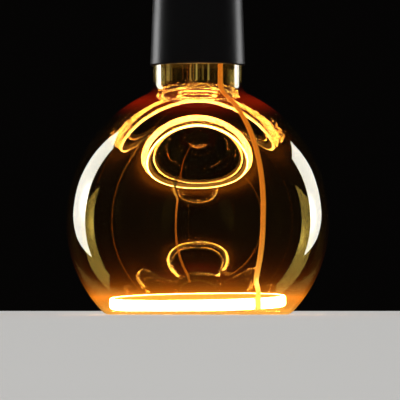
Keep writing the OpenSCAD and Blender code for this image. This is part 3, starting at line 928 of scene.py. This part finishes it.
@dataclass
class RingLight:
    """The bent strip light: two phosphor coats round a carrier with its chips, and a cuff in the gap."""

    ring_d: float = 83.8 * MM
    band_h: float = 5 * MM
    band_t: float = 2.4 * MM
    rise: float = 6 * MM
    pitch: float = math.radians(2)
    roll: float = math.radians(1)
    gap: float = 3.4 * MM
    gap_at: float = math.radians(-48.5)
    seam: float = 0.02 * MM
    steps: int = 300
    edge_steps: int = 10
    edge_share: float = 0.75
    end_round: float = 0.5 * MM
    end_pull: float = 0.12
    chip_count: int = 72
    chip_size: Axes = (0.38 * MM, 1.15 * MM, 0.78 * MM)
    chip_out: float = 0.375 * MM
    chip_clear: float = math.radians(3)
    chip_crease: float = 30.0

    def __post_init__(self) -> None:
        """Works out the ring's middle and its place in the globe."""
        self.mid = self.ring_d / 2 - self.band_t / 2
        turned = Matrix.Rotation(-self.roll, 4, "Y") @ Matrix.Rotation(self.pitch, 4, "X")
        self.frame = Matrix.Translation((0.0, 0.0, self.rise)) @ turned

    def section(self, coat: Coat) -> list[Place]:
        """One coat's section.

        Args:
            coat: Which coat.

        Returns:
            Its points, as distance out from the ring's middle and height.
        """
        edge = self.band_t / 2
        top = [(x, z + self.band_h / 2 - edge) for x, z in arc((0.0, 0.0), edge, 0, 90, self.edge_steps)]
        low = [(x, z - self.band_h / 2 + edge) for x, z in arc((0.0, 0.0), edge, 90, 180, self.edge_steps)]
        return [(coat.value * max(x, self.seam), z) for x, z in top + low]

    def band(self, section: list[Place]) -> list[list[Vector]]:
        """A section set round the ring, drawn in at both ends.

        Args:
            section: The section.

        Returns:
            Its points at each step.
        """
        half_gap = self.gap / 2 / self.mid
        span = math.tau - 2 * half_gap
        rings = []
        for i in range(self.steps + 1):
            share = i / self.steps
            near_end = min(share, 1 - share) * span * self.mid
            rounded = math.sqrt(max(0.0, 1 - max(0.0, 1 - near_end / self.end_round) ** 2))
            pull = rounded * self.end_pull + (1 - self.end_pull)
            a = self.gap_at + half_gap + span * share
            out = Vector((math.cos(a), math.sin(a), 0.0))
            places = [out * (self.mid + x * pull) + Vector((0, 0, z * pull)) for x, z in section]
            rings.append([self.frame @ place for place in places])
        return rings

    def chips(self) -> bpy.types.Object:
        """The row of light chips as instances along an arc.

        Returns:
            The piece.
        """
        shape = NodeShape("light_chips")
        bench = shape.bench
        radius = shape.size("Radius", self.mid + self.chip_out)
        count = shape.size("Count", self.chip_count)
        span = shape.size("Span", math.tau - self.gap / self.mid - self.chip_clear)
        first = shape.size("First", self.gap_at + self.gap / 2 / self.mid + self.chip_clear)
        box = bench.node("GeometryNodeMeshCube", {}, {"Size": self.chip_size})
        line = {"Count": count, "Offset": (0.0, 0.0, 0.0)}
        row = bench.node("GeometryNodeMeshLine", {"mode": "OFFSET"}, line)
        order = bench.node("GeometryNodeInputIndex", {}, {})
        angle = first + span * (order / (count - 1.0))
        spot = bench.vector(radius * angle.math("COSINE"), radius * angle.math("SINE"))
        placed = bench.node("GeometryNodeSetPosition", {}, {"Geometry": row, "Position": spot})
        facing = bench.vector(z=angle)
        sockets = {"Points": placed, "Instance": box, "Rotation": facing}
        chips = bench.node("GeometryNodeInstanceOnPoints", {}, sockets)
        piece = shape.bake(chips, CHIP, crease=self.chip_crease)
        piece.data.transform(self.frame)
        return piece

    def build(self) -> None:
        """Makes the coats, marked near their rounded edges, and the chips, and dresses what they hold."""
        steep = self.band_t / 2 * self.edge_share
        for coat, finish in ((Coat.OUTER, OUTER_GLOW), (Coat.INNER, INNER_GLOW)):
            name = coat.name.lower()
            section = self.section(coat)
            mesh = sweep_mesh(f"{name}_coat", self.band(section))
            mark_points(mesh, EDGE, [min(1.0, max(0.0, 1 - (x * coat.value) / steep)) for x, z in section])
            settle(object_of(mesh.name, mesh, finish), "lit_phosphor", f"{name}_phosphor_coat")
        settle(self.chips(), "chip_resin", "led_chips")
        for node, finish in {"ring_strip": STRIP, "ring_tabs": TINNED, "ring_cuff": CUFF}.items():
            dress(node, finish)


@dataclass
class FeedStrip:
    """The flat strip that runs down inside the glass, wanders a little and lands on the ring's cuff."""

    globe: GlassGlobe
    ring: RingLight
    width: float = 2.4 * MM
    thick: float = 0.7 * MM
    clear: float = 0.3 * MM
    at: float = math.radians(-57.5)
    lean: float = math.radians(-3)
    track_w: float = 0.7 * MM
    film_in: float = 0.1 * MM
    track_half: float = 0.05 * MM
    fold_r: float = 2 * MM
    fold_tail: float = 4 * MM
    half_down: float = 5 * MM
    leave_a: float = 113.0
    bend: float = 9 * MM
    fold_steps: int = 16
    throat_steps: int = 20
    ball_steps: int = 16
    bend_steps: int = 40
    cuff_t: float = 3.2 * MM
    fit: float = 0.05 * MM
    board_top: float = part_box("driver_board")[1].z
    edge_steps: int = 6
    crease: float = 50.0

    def turned(self, r: float, z: float, height: float) -> Vector:
        """Turns the outline's plane to the strip's angle at a height.

        Args:
            r: The distance from the axis of a point or a direction in the plane.
            z: Its height.
            height: The height at which the strip's angle is taken.

        Returns:
            The point or direction.
        """
        g = self.globe
        a = self.at + self.lean * min(1.0, max(0.0, (g.throat_z - height) / (g.throat_z - g.rise)))
        return Vector((r * math.cos(a), r * math.sin(a), z))

    def follow(
        self, centre: Place, r: float, start: float, end: float, count: int, way: int = 1
    ) -> list[Stop]:
        """Stops along an arc of the outline.

        Args:
            centre: The arc's centre.
            r: The radius at which the strip runs.
            start: The first angle from the axis, in degrees.
            end: The last angle.
            count: The number of steps.
            way: 1 where the glass lies outside the arc, -1 where it lies inside.

        Returns:
            Each stop's place and the direction of the glass there.
        """
        stops = []
        for i in range(1, count + 1):
            a = math.radians(start + (end - start) * i / count)
            out = (math.sin(a), math.cos(a))
            z = centre[1] + r * out[1]
            stops.append((self.turned(centre[0] + r * out[0], z, z), way * self.turned(*out, z)))
        return stops

    def down_glass(self) -> list[Stop]:
        """The way from the board down the glass to where the strip leaves it.

        Returns:
            Each stop's place and the direction of the glass there.
        """
        g = self.globe
        depth = g.wall + self.clear + self.thick / 2
        down_r = g.neck_r - depth
        top = self.board_top + self.fit + self.thick / 2
        fold = (down_r - self.fold_r, top - self.fold_r)
        half_down = g.neck_top - self.half_down
        hollow = (g.throat_x, g.throat_z)
        return [
            (self.turned(fold[0] - self.fold_tail, top, top), Vector((0, 0, 1))),
            *self.follow(fold, self.fold_r, 0, 90, self.fold_steps),
            (self.turned(down_r, half_down, half_down), self.turned(1.0, 0.0, half_down)),
            *self.follow(hollow, g.throat_r + depth, -90, g.throat_a - 180, self.throat_steps, -1),
            *self.follow((-g.shoulder_off, g.rise), g.shoulder_r - depth, g.throat_a, 90, g.shoulder_steps),
            *self.follow((0.0, g.rise), g.ball_r - depth, 90, self.leave_a, self.ball_steps),
        ]

    def route(self) -> list[Stop]:
        """The whole way from the board to the cuff.

        Returns:
            Each stop's place and the direction of the glass there.
        """
        stops = self.down_glass()
        leave, normal = stops[-1]
        a = math.radians(self.leave_a)
        ahead = self.turned(math.cos(a), -math.sin(a), leave.z)
        gap = Vector((math.cos(self.ring.gap_at), math.sin(self.ring.gap_at), 0.0))
        face = self.ring.mid + self.cuff_t / 2 + self.fit + self.thick / 2
        half_band = Vector((0, 0, self.ring.band_h / 2))
        land = self.ring.frame @ (gap * face + half_band)
        turned = self.ring.frame.to_3x3()
        down, out = turned @ Vector((0, 0, -1)), turned @ gap
        for i in range(1, self.bend_steps + 1):
            t = i / self.bend_steps
            place = curve(leave, leave + self.bend * ahead, land - self.bend * down, land, t)
            stops.append((place, ((1 - t) * normal + t * out).normalized()))
        stops.append((self.ring.frame @ (gap * face - half_band), out))
        return stops

    def ribbon(self, name: str, low: float, high: float, left: float, right: float) -> bpy.types.Mesh:
        """A flat band along the route with rounded long edges.

        Args:
            name: The mesh's name.
            low: The depth of its inner face, from the strip's middle towards the glass.
            high: The depth of its outer face.
            left: Where it starts across the strip.
            right: Where it ends.

        Returns:
            The mesh.
        """
        round_r = (high - low) / 2
        mid = (high + low) / 2
        section = []
        for across, way in ((left + round_r, -1), (right - round_r, 1)):
            for i in range(self.edge_steps + 1):
                a = math.radians(-90 + 180 * i / self.edge_steps) * way
                section.append((across + way * round_r * math.cos(a), mid + round_r * math.sin(a)))
        mesh = sweep_mesh(name, sections_along(self.route(), section), self.crease)
        mark_points(mesh, ACROSS, [across for across, depth in section])
        return mesh

    def build(self) -> None:
        """Makes the two films and the tracks between them."""
        half_w, half_t = self.width / 2, self.thick / 2
        for name, low, high, node in (
            ("base_film", self.film_in, half_t, "feed_base_film"),
            ("cover_film", -half_t, -self.film_in, "feed_cover_film"),
        ):
            film = self.ribbon(name, low, high, -half_w, half_w)
            settle(object_of(name, film, FILM), "amber_film", node)
        near = self.width / 4 - self.track_w / 2
        for name, start in (("left_track", -near - self.track_w), ("right_track", near)):
            track = self.ribbon(name, -self.track_half, self.track_half, start, start + self.track_w)
            settle(object_of(name, track, COPPER), "copper", "feed_tracks")


@dataclass
class BaseHousing:
    """The black housing over the neck: a tapered side, a rounded shoulder, a sloped roof and a cap seat."""

    rim_r: float = half_width("base_housing")
    rim_z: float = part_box("base_housing")[0].z
    seat_r: float = 21.3 * MM
    seat_edge: float = 0.3 * MM
    plug_h: float = 6.6 * MM
    taper: float = math.radians(2.2)
    side_h: float = 34 * MM
    round_r: float = 6 * MM
    wall: float = 1.6 * MM
    fit: float = 0.05 * MM
    collar_r: float = 14.3 * MM
    collar_h: float = 1.4 * MM
    fillet: float = 0.25 * MM
    roof_a: float = 20.0
    edge: float = 0.8 * MM
    spigot_r: float = 11.45 * MM
    spigot_h: float = 9 * MM
    spigot_t: float = 1.4 * MM
    lead_in: Place = (0.5 * MM, 1 * MM)
    segments: int = 128
    crease: float = 30.0

    def section(self) -> list[Place]:
        """The wall's closed section.

        Returns:
            Its points.
        """
        side_top = self.rim_z + self.side_h
        side_r = self.rim_r - self.side_h * math.tan(self.taper)
        r, tilt = self.round_r, self.taper
        centre = (side_r - r * math.cos(tilt), side_top - r * math.sin(tilt))
        slope = math.radians(self.roof_a)
        roof = (centre[0] + self.round_r * math.sin(slope), centre[1] + self.round_r * math.cos(slope))
        collar_z = roof[1] + (roof[0] - self.collar_r) * math.tan(slope)
        cap_z = collar_z + self.collar_h
        square = 90 - math.degrees(self.taper)
        fillet = self.fillet
        inner_r = self.spigot_r - self.spigot_t
        spigot_top = cap_z + self.spigot_h
        bore_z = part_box("neck_plug")[0].z + self.plug_h
        bore_r = self.rim_r - (bore_z - self.rim_z) * math.tan(self.taper) - self.wall - self.fit
        return [
            (self.seat_r, self.rim_z + self.seat_edge), (self.seat_r + self.seat_edge, self.rim_z),
            *arc((self.rim_r - self.edge, self.rim_z + self.edge), self.edge, 180, square, 8),
            *arc(centre, self.round_r, square, self.roof_a, 16),
            *arc((self.collar_r + fillet, collar_z + 0.6 * fillet), fillet, 200, 270, 4),
            *arc((self.collar_r - fillet, cap_z - fillet), fillet, 90, 0, 4),
            (self.spigot_r, cap_z), (self.spigot_r, spigot_top - self.lead_in[1]),
            (self.spigot_r - self.lead_in[0], spigot_top), (inner_r, spigot_top),
            (inner_r, collar_z - self.wall),
            *arc(centre, self.round_r - self.wall, self.roof_a, square, 12),
            (bore_r, bore_z), (self.seat_r, bore_z),
        ]

    def build(self) -> None:
        """Makes the housing and dresses the neck's cement and plug."""
        mesh = lathe_mesh("black_base", self.section(), self.segments, self.crease)
        settle(object_of("black_base", mesh, BLACK), "black_housing", "base_housing")
        dress("neck_cement", CEMENT)
        dress("neck_plug", PLUG)


@dataclass
class ScrewCap:
    """The rolled screw shell, its insulator and the contact at its tip."""

    low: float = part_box("cap_shell")[0].z
    shell_top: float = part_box("cap_shell")[1].z
    tip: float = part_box("centre_contact")[1].z
    skirt_r: float = half_width("cap_shell")
    skirt_h: float = 6 * MM
    thread_r: float = 13.05 * MM
    depth: float = 0.95 * MM
    pitch: float = 3.63 * MM
    turns: float = 3.6
    run_out: float = 0.6
    thread_rows: int = 96
    thread_segments: int = 144
    thread_crease: float = 45.0
    sheet: float = 0.35 * MM
    lip_r: float = 1.1 * MM
    mouth_r: float = 9.7 * MM
    insulator_r: float = half_width("cap_insulator")
    hole_r: float = 1.6 * MM
    fit: float = 0.05 * MM
    hollow: float = 0.25 * MM
    cone_steps: int = 10
    contact_r: float = half_width("centre_contact")
    contact_h: float = 1.8 * MM
    rivet_r: float = 1.55 * MM
    crown_r: float = 1.05 * MM
    edge: float = 0.15 * MM
    dimple: float = 0.12 * MM
    segments: int = 96
    crease: float = 35.0
    pieces: list[bpy.types.Object] = field(default_factory=list)

    def shell_section(self) -> list[Place]:
        """The shell's closed section before the thread is rolled into it.

        Returns:
            Its points.
        """
        thread_z = self.low + self.skirt_h
        thread_h = self.turns * self.pitch
        half = self.sheet / 2
        foot = arc((self.skirt_r - half, self.low + half), half, 270, 90, 4)
        step = [(self.thread_r + 0.1 * MM, thread_z - 0.15 * MM), (self.thread_r, thread_z)]
        rows = range(1, self.thread_rows + 1)
        outer = [(self.thread_r, thread_z + thread_h * i / self.thread_rows) for i in rows]
        bend = (self.thread_r - self.lip_r, self.shell_top - self.lip_r)
        lip = arc(bend, self.lip_r, 90, 0, 6)
        mouth = arc((self.mouth_r + self.depth + half, self.shell_top - half), half, 0, -180, 4)
        lip_in = arc(bend, self.lip_r - self.sheet, 0, 90, 6)
        inner = [(r - self.sheet, z) for r, z in reversed(outer)]
        below = [(self.thread_r - self.sheet, thread_z), (self.skirt_r - self.sheet, thread_z - 0.5 * MM)]
        top = [*lip, *mouth, *lip_in]
        return [*foot, (self.skirt_r, thread_z - 0.4 * MM), *step, *outer, *top, *inner, *below]

    def shell(self) -> bpy.types.Object:
        """The shell with its thread rolled in: a rule moves each point of the sheet towards the axis.

        Returns:
            The piece.
        """
        shape = NodeShape("rolled_shell")
        bench = shape.bench
        start = shape.size("Thread start", self.low + self.skirt_h)
        height = shape.size("Thread height", self.turns * self.pitch)
        pitch = shape.size("Pitch", self.pitch)
        depth = shape.size("Depth", self.depth)
        place = bench.node("GeometryNodeInputPosition", {}, {})
        x, y, z = (place.axis(a) for a in Axis)
        h = z - start
        wave = (1.0 - (h / pitch * math.tau - y.math("ARCTAN2", x)).math("COSINE")) * 0.5
        near_skirt = (h / pitch).held()
        near_lip = ((height - h) / (pitch * self.run_out)).held()
        share = (1.0 - (1.0 - wave) * near_lip) * near_skirt
        r = (x * x + y * y).math("SQRT")
        pull = (r - depth * share) / r
        spot = bench.vector(x * pull, y * pull, z)
        rolled = bench.node("GeometryNodeSetPosition", {}, {"Geometry": shape.entry, "Position": spot})
        base = lathe_mesh("shell_sheet", self.shell_section(), self.thread_segments)
        return shape.bake(rolled, NICKEL, base, self.thread_crease)

    def insulator_section(self) -> list[Place]:
        """The insulator's closed section: a plate under the shell's lip and a hollow cone above it.

        Returns:
            Its points.
        """
        low, top = (corner.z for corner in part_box("cap_insulator"))
        plate_z = self.shell_top - 0.5 * MM
        plate_edge = 0.3 * MM
        neck_r = self.mouth_r - self.fit
        shoulder = (neck_r - 0.6 * MM, self.shell_top + 1.2 * MM)
        rest = (self.contact_r + 0.4 * MM, top)
        cone = []
        for i in range(self.cone_steps + 1):
            t = i / self.cone_steps
            r = shoulder[0] + (rest[0] - shoulder[0]) * t - self.hollow * math.sin(math.pi * t)
            cone.append((r, shoulder[1] + (rest[1] - shoulder[1]) * math.sin(t * math.pi / 2)))
        return [
            (self.hole_r, low), (self.insulator_r - plate_edge, low), (self.insulator_r, low + plate_edge),
            (self.insulator_r, plate_z), (neck_r, plate_z), (neck_r, self.shell_top + 0.6 * MM),
            *cone, (self.hole_r, top),
        ]

    def contact_section(self) -> list[Place]:
        """The contact's closed section: a rivet under a stamped head with a dimple.

        Returns:
            Its points.
        """
        base_z = self.tip - self.contact_h
        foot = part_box("centre_contact")[0].z
        foot_edge = 0.4 * MM
        r, rivet_r, edge = self.contact_r, self.rivet_r, self.edge
        return [
            (0.0, foot), (rivet_r - foot_edge, foot), (rivet_r, foot + foot_edge), (rivet_r, base_z),
            *arc((r - edge, base_z + edge), edge, 180, 90, 3), (r, base_z + 0.55 * MM),
            *arc((r - 1.4 * MM, self.tip - self.crown_r), self.crown_r, 78, 0, 8),
            (1.6 * MM, self.tip), (1.2 * MM, self.tip - self.dimple), (0.0, self.tip - self.dimple),
        ]

    def build(self) -> None:
        """Makes the shell, the insulator and the contact."""
        self.pieces.append(settle(self.shell(), "nickel_sheet", "cap_shell"))
        for name, section, finish, slot, node in (
            ("cap_cone", self.insulator_section(), VITREOUS, "black_glass", "cap_insulator"),
            ("tip_contact", self.contact_section(), STAMPED, "contact_metal", "centre_contact"),
        ):
            mesh = lathe_mesh(name, section, self.segments, self.crease)
            self.pieces.append(settle(object_of(name, mesh, finish), slot, node))


@dataclass
class Driver:
    """The driver board under the roof of the housing, with its parts and the two wires to the cap."""

    winding_wire: float = 0.36 * MM
    winding_steps: int = 28
    winding_sides: int = 8
    core_segments: int = 48
    sunk: float = 0.3
    wire_r: float = 0.55 * MM
    wire_sides: int = 12
    wire_steps: int = 48
    wire_lean: Axes = (0.31, 0.95, 0.05)
    rise: float = 9 * MM
    crease: float = 60.0

    def winding(self) -> bpy.types.Object:
        """The choke's winding: turns side by side round a plain core.

        Returns:
            The piece.
        """
        low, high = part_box("choke_winding")
        centre = (low + high) / 2
        half_wire = self.winding_wire / 2
        wound_h = high.z - low.z - self.winding_wire
        shape = NodeShape("choke_turns")
        bench = shape.bench
        radius = shape.size("Radius", (high.x - low.x) / 2 - half_wire)
        wire_r = shape.size("Wire radius", half_wire)
        length = shape.size("Length", wound_h)
        turns = shape.size("Turns", wound_h / self.winding_wire)
        spiral = {"Rotations": turns, "Start Radius": radius, "End Radius": radius, "Height": length}
        coil = bench.node("GeometryNodeCurveSpiral", {}, {"Resolution": self.winding_steps, **spiral})
        circle = {"Resolution": self.winding_sides, "Radius": wire_r}
        ring = bench.node("GeometryNodeCurvePrimitiveCircle", {}, circle)
        sweep = {"Curve": coil, "Profile Curve": ring, "Fill Caps": True}
        wound = bench.node("GeometryNodeCurveToMesh", {}, sweep)
        sizes = {"Vertices": self.core_segments, "Radius": radius - wire_r * self.sunk, "Depth": length}
        core = bench.node("GeometryNodeMeshCylinder", {}, sizes)
        lift = bench.vector(z=length * 0.5)
        raised = bench.node("GeometryNodeSetPosition", {}, {"Geometry": core, "Offset": lift})
        both = bench.node("GeometryNodeJoinGeometry", {}, {0: wound})
        bench.tree.links.new(raised.socket, both.socket.node.inputs[0])
        piece = shape.bake(both, COPPER)
        piece.data.transform(Matrix.Translation((centre.x, centre.y, low.z + half_wire)))
        return piece

    def wires(self) -> None:
        """Makes smooth wires in place of the CAD ones, each from its foot on the board to its head."""
        foot_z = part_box("live_wire")[0].z + 0.03 * MM
        live_end = Vector((0.0, 0.0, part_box("live_wire")[1].z - 0.02 * MM))
        low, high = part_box("neutral_wire")
        neutral_end = Vector((0.0, low.y, high.z - self.wire_r))
        turns = (math.tau * k / self.wire_sides for k in range(self.wire_sides))
        section = [(self.wire_r * math.cos(a), self.wire_r * math.sin(a)) for a in turns]
        for name, finish, foot, head, last_bend in (
            ("live", BROWN, Vector((-3.5 * MM, -4 * MM, foot_z)), live_end, Vector((0, 0, 6 * MM))),
            ("neutral", BLUE, Vector((3.5 * MM, -5.5 * MM, foot_z)), neutral_end, Vector((0, -4 * MM, 0))),
        ):
            leave = foot + Vector((0, 0, self.rise))
            shares = (i / self.wire_steps for i in range(self.wire_steps + 1))
            stops = [(curve(foot, leave, head - last_bend, head, t), Vector(self.wire_lean)) for t in shares]
            mesh = sweep_mesh(f"{name}_lead", sections_along(stops, section), self.crease)
            settle(object_of(mesh.name, mesh, finish), finish.name, f"{name}_wire")

    def build(self) -> None:
        """Makes the winding and the wires, and dresses the other parts."""
        settle(self.winding(), "copper", "choke_winding")
        self.wires()
        for node, finish in {
            "driver_board": BOARD, "bridge_rectifier": RESIN, "smoothing_capacitor": SLEEVE,
            "choke_core": FERRITE, "driver_chip": RESIN, "film_capacitor": DIPPED, "fuse_resistor": LACQUER,
            "chip_resistors": RESIN,
        }.items():
            dress(node, finish)


# The studio

def round_about(r: float, azimuth: float, z: float) -> Vector:
    """A place round the bulb, at an azimuth in radians from the camera's side."""
    return Vector((r * math.sin(azimuth), -r * math.cos(azimuth), z))


def aimed(name: str, data: bpy.types.Camera | bpy.types.Light, at: Vector, to: Vector) -> bpy.types.Object:
    """Sets up a camera or a lamp that looks at a point.

    Args:
        name: The object's name.
        data: The camera or lamp.
        at: Where it stands.
        to: The point.

    Returns:
        The object.
    """
    made = bpy.data.objects.new(name, data)
    made.location = at
    made.rotation_euler = (to - made.location).to_track_quat("-Z", "Y").to_euler()
    bpy.context.scene.collection.objects.link(made)
    return made


def flat_face(name: str, corners: list[Vector], material: bpy.types.Material) -> bpy.types.Object:
    """Makes one flat face, which belongs to the studio.

    Args:
        name: The object's name.
        corners: Its corners in order.
        material: Its material.

    Returns:
        The object.
    """
    mesh = bpy.data.meshes.new(name)
    mesh.from_pydata(corners, [], [list(range(len(corners)))])
    mesh.materials.append(material)
    made = object_of(name, mesh)
    return made


@dataclass(frozen=True)
class SoftLight:
    """A tall soft light: its corners and lamp, as azimuth in degrees from the camera's side and height."""

    side: Side
    corners: tuple[Place, ...]
    lamp: Place

    def spot(self, r: float, place: Place) -> Vector:
        """A place on the upright cylinder on which the light stands."""
        return round_about(r, self.side.value * math.radians(place[0]), place[1])


SOFT_LIGHTS = (
    SoftLight(
        Side.LEFT, ((130, 0.79), (138, 0.25), (137.5, 0.08), (131, -0.04), (113.5, -0.23), (112.5, 0.72)),
        (116.5, 0.19),
    ),
    SoftLight(
        Side.RIGHT, ((134, 0.58), (138, 0.32), (135.5, 0.08), (129, -0.04), (113, -0.22), (114.5, 0.56)),
        (115.8, 0.10),
    ),
)


@dataclass
class Studio:
    """A pale floor, a dark backdrop, two tall soft lights behind the bulb's sides and the camera."""

    distance: float = 2.1
    eye_z: float = 3 * MM
    aim: Axes = (1.1 * MM, 0.0, 54.4 * MM)
    frame_w: float = 190.1 * MM
    sensor: float = 36.0
    clip: Place = (0.01, 20.0)
    floor_r: float = 2.6
    floor_sides: int = 96
    floor_drop: float = 0.05 * MM
    floor_colour: Colour = (0.72, 0.71, 0.69)
    floor_cloud: Cloud = Cloud(3.0, 3.0)
    floor_dark: float = 0.97
    floor_rough: float = 0.85
    floor_gloss: float = 0.2
    fade_from: float = 0.3
    fade_to: float = 0.8
    backdrop: Colour = (0.0016, 0.0014, 0.0013)
    ambient: float = 0.8
    light_r: float = 0.9
    light_level: float = 2.3
    hot_level: float = 5.0
    hot_r: float = 0.09
    first_depth: float = 1.5
    deep_share: float = 0.05
    cap_light_count: int = 5
    cap_light_turn: float = 0.35
    cap_light_w: float = 0.16
    cap_light_h: float = 0.5
    cap_light_r: float = 0.5
    cap_light_z: float = 0.34
    cap_z: float = 0.17
    cap_light_power: float = 3.0
    bounces: int = 24
    mirror_bounces: int = 4

    def camera(self) -> None:
        """Sets up the camera at the photograph's height, distance and frame."""
        lens = bpy.data.cameras.new("camera")
        lens.sensor_width = self.sensor
        lens.lens = lens.sensor_width / 2 / (self.frame_w / 2 / self.distance)
        lens.clip_start, lens.clip_end = self.clip
        eye = Vector((0.0, -self.distance, self.eye_z))
        bpy.context.scene.camera = aimed("camera", lens, eye, Vector(self.aim))

    def floor(self) -> bpy.types.Object:
        """The pale matte floor. Mirrors show the backdrop in its place, and so does glass far from the bulb.

        Returns:
            The floor.
        """
        material = bpy.data.materials.new("pale_floor")
        bench = cleared(material)
        darker = scaled(self.floor_colour, self.floor_dark)
        colour = bench.mix(bench.noise(self.floor_cloud), darker, self.floor_colour)
        gloss = {"Roughness": self.floor_rough, "Specular IOR Level": self.floor_gloss}
        matte = bench.node("ShaderNodeBsdfPrincipled", {}, {"Base Color": colour, **gloss})
        clear = bench.node("ShaderNodeBsdfTransparent", {}, {})
        path = bench.ray("Glossy Depth")
        far_off = ((bench.radius() - self.fade_from) / (self.fade_to - self.fade_from)).held()
        passed = (path + path.other("Is Transmission Ray") * far_off).held()
        shown = bench.node("ShaderNodeMixShader", {}, {0: passed, 1: matte, 2: clear})
        bench.node("ShaderNodeOutputMaterial", {}, {"Surface": shown})
        turns = (math.tau * k / self.floor_sides for k in range(self.floor_sides))
        r, z = self.floor_r, -self.floor_drop
        corners = [Vector((r * math.cos(a), r * math.sin(a), z)) for a in turns]
        return flat_face("floor", corners, material)

    def soft_light(self, light: SoftLight, floor: bpy.types.Object) -> None:
        """Makes a soft light, which the glass mirrors as a long bright curve and which leaves the floor out.

        Its mirror images in other mirror images are dimmed: the real coat mirrors less than this glass.

        Args:
            light: The light's shape and side.
            floor: The floor.
        """
        material = bpy.data.materials.new(f"soft_light_{light.side.name.lower()}")
        bench = cleared(material)
        ends = {0: bench.here(), 1: light.spot(self.light_r, light.lamp)}
        off = bench.node("ShaderNodeVectorMath", {"operation": "DISTANCE"}, ends, "Value") / self.hot_r
        peak = (0.0 - off * off).math("EXPONENT") * self.hot_level + self.light_level
        first = bench.ray("Glossy Depth").math("LESS_THAN", self.first_depth)
        peak = peak * (first * (1.0 - self.deep_share) + self.deep_share)
        glow = bench.node("ShaderNodeEmission", {}, {"Color": (1.0, 1.0, 1.0, 1.0), "Strength": peak})
        bench.node("ShaderNodeOutputMaterial", {}, {"Surface": glow})
        made = flat_face(material.name, [light.spot(self.light_r, c) for c in light.corners], material)
        made.visible_camera = made.visible_shadow = False
        screened = bpy.data.collections.new(made.name + "_screened")
        screened.objects.link(floor)
        screened.collection_objects[0].light_linking.link_state = "EXCLUDE"
        made.light_linking.receiver_collection = screened

    def cap_lights(self, pieces: list[bpy.types.Object]) -> None:
        """Sets soft lights round the screw cap alone, so that its metal shows bands from every side.

        Args:
            pieces: The cap's pieces.
        """
        lit = bpy.data.collections.new("cap_pieces")
        for piece in pieces:
            lit.objects.link(piece)
        for i in range(self.cap_light_count):
            lamp = bpy.data.lights.new(f"cap_light_{i}", "AREA")
            lamp.shape = "RECTANGLE"
            lamp.size, lamp.size_y = self.cap_light_w, self.cap_light_h
            lamp.energy = self.cap_light_power
            azimuth = math.tau * (i + self.cap_light_turn) / self.cap_light_count
            at = round_about(self.cap_light_r, azimuth, self.cap_light_z)
            made = aimed(lamp.name, lamp, at, Vector((0.0, 0.0, self.cap_z)))
            made.visible_camera = False
            made.light_linking.receiver_collection = lit

    def world(self) -> None:
        """Lights the bulb softly from all round, with a dark backdrop for what sees or mirrors it."""
        world = bpy.data.worlds.new("studio")
        bpy.context.scene.world = world
        bench = cleared(world)
        path = bench.ray("Is Camera Ray")
        sees = (path + path.other("Is Glossy Ray") + path.other("Is Transmission Ray")).held()
        colour = bench.mix(sees, (self.ambient,) * 3, self.backdrop)
        sky = bench.node("ShaderNodeBackground", {}, {"Color": colour, "Strength": 1.0})
        bench.node("ShaderNodeOutputWorld", {}, {"Surface": sky})

    def build(self) -> None:
        """Makes the studio and sets how colours are shown."""
        self.camera()
        floor = self.floor()
        for light in SOFT_LIGHTS:
            self.soft_light(light, floor)
        self.world()
        scene = bpy.context.scene
        scene.view_settings.view_transform = "Standard"
        scene.cycles.caustics_refractive = False
        scene.cycles.caustics_reflective = False
        scene.cycles.sample_clamp_indirect = 0.0
        scene.cycles.max_bounces = scene.cycles.transmission_bounces = self.bounces
        scene.cycles.glossy_bounces = self.mirror_bounces
        log.info("studio: floor, two soft lights and the camera")


def main() -> None:
    """Builds the bulb and the studio."""
    logging.basicConfig(level=logging.INFO, format="%(name)s: %(message)s")
    studio = Studio()
    studio.build()
    globe = GlassGlobe()
    ring = RingLight()
    cap = ScrewCap()
    for part in (globe, ring, FeedStrip(globe, ring), BaseHousing(), cap, Driver()):
        part.build()
    studio.cap_lights(cap.pieces)


if __name__ == "__main__":
    main()
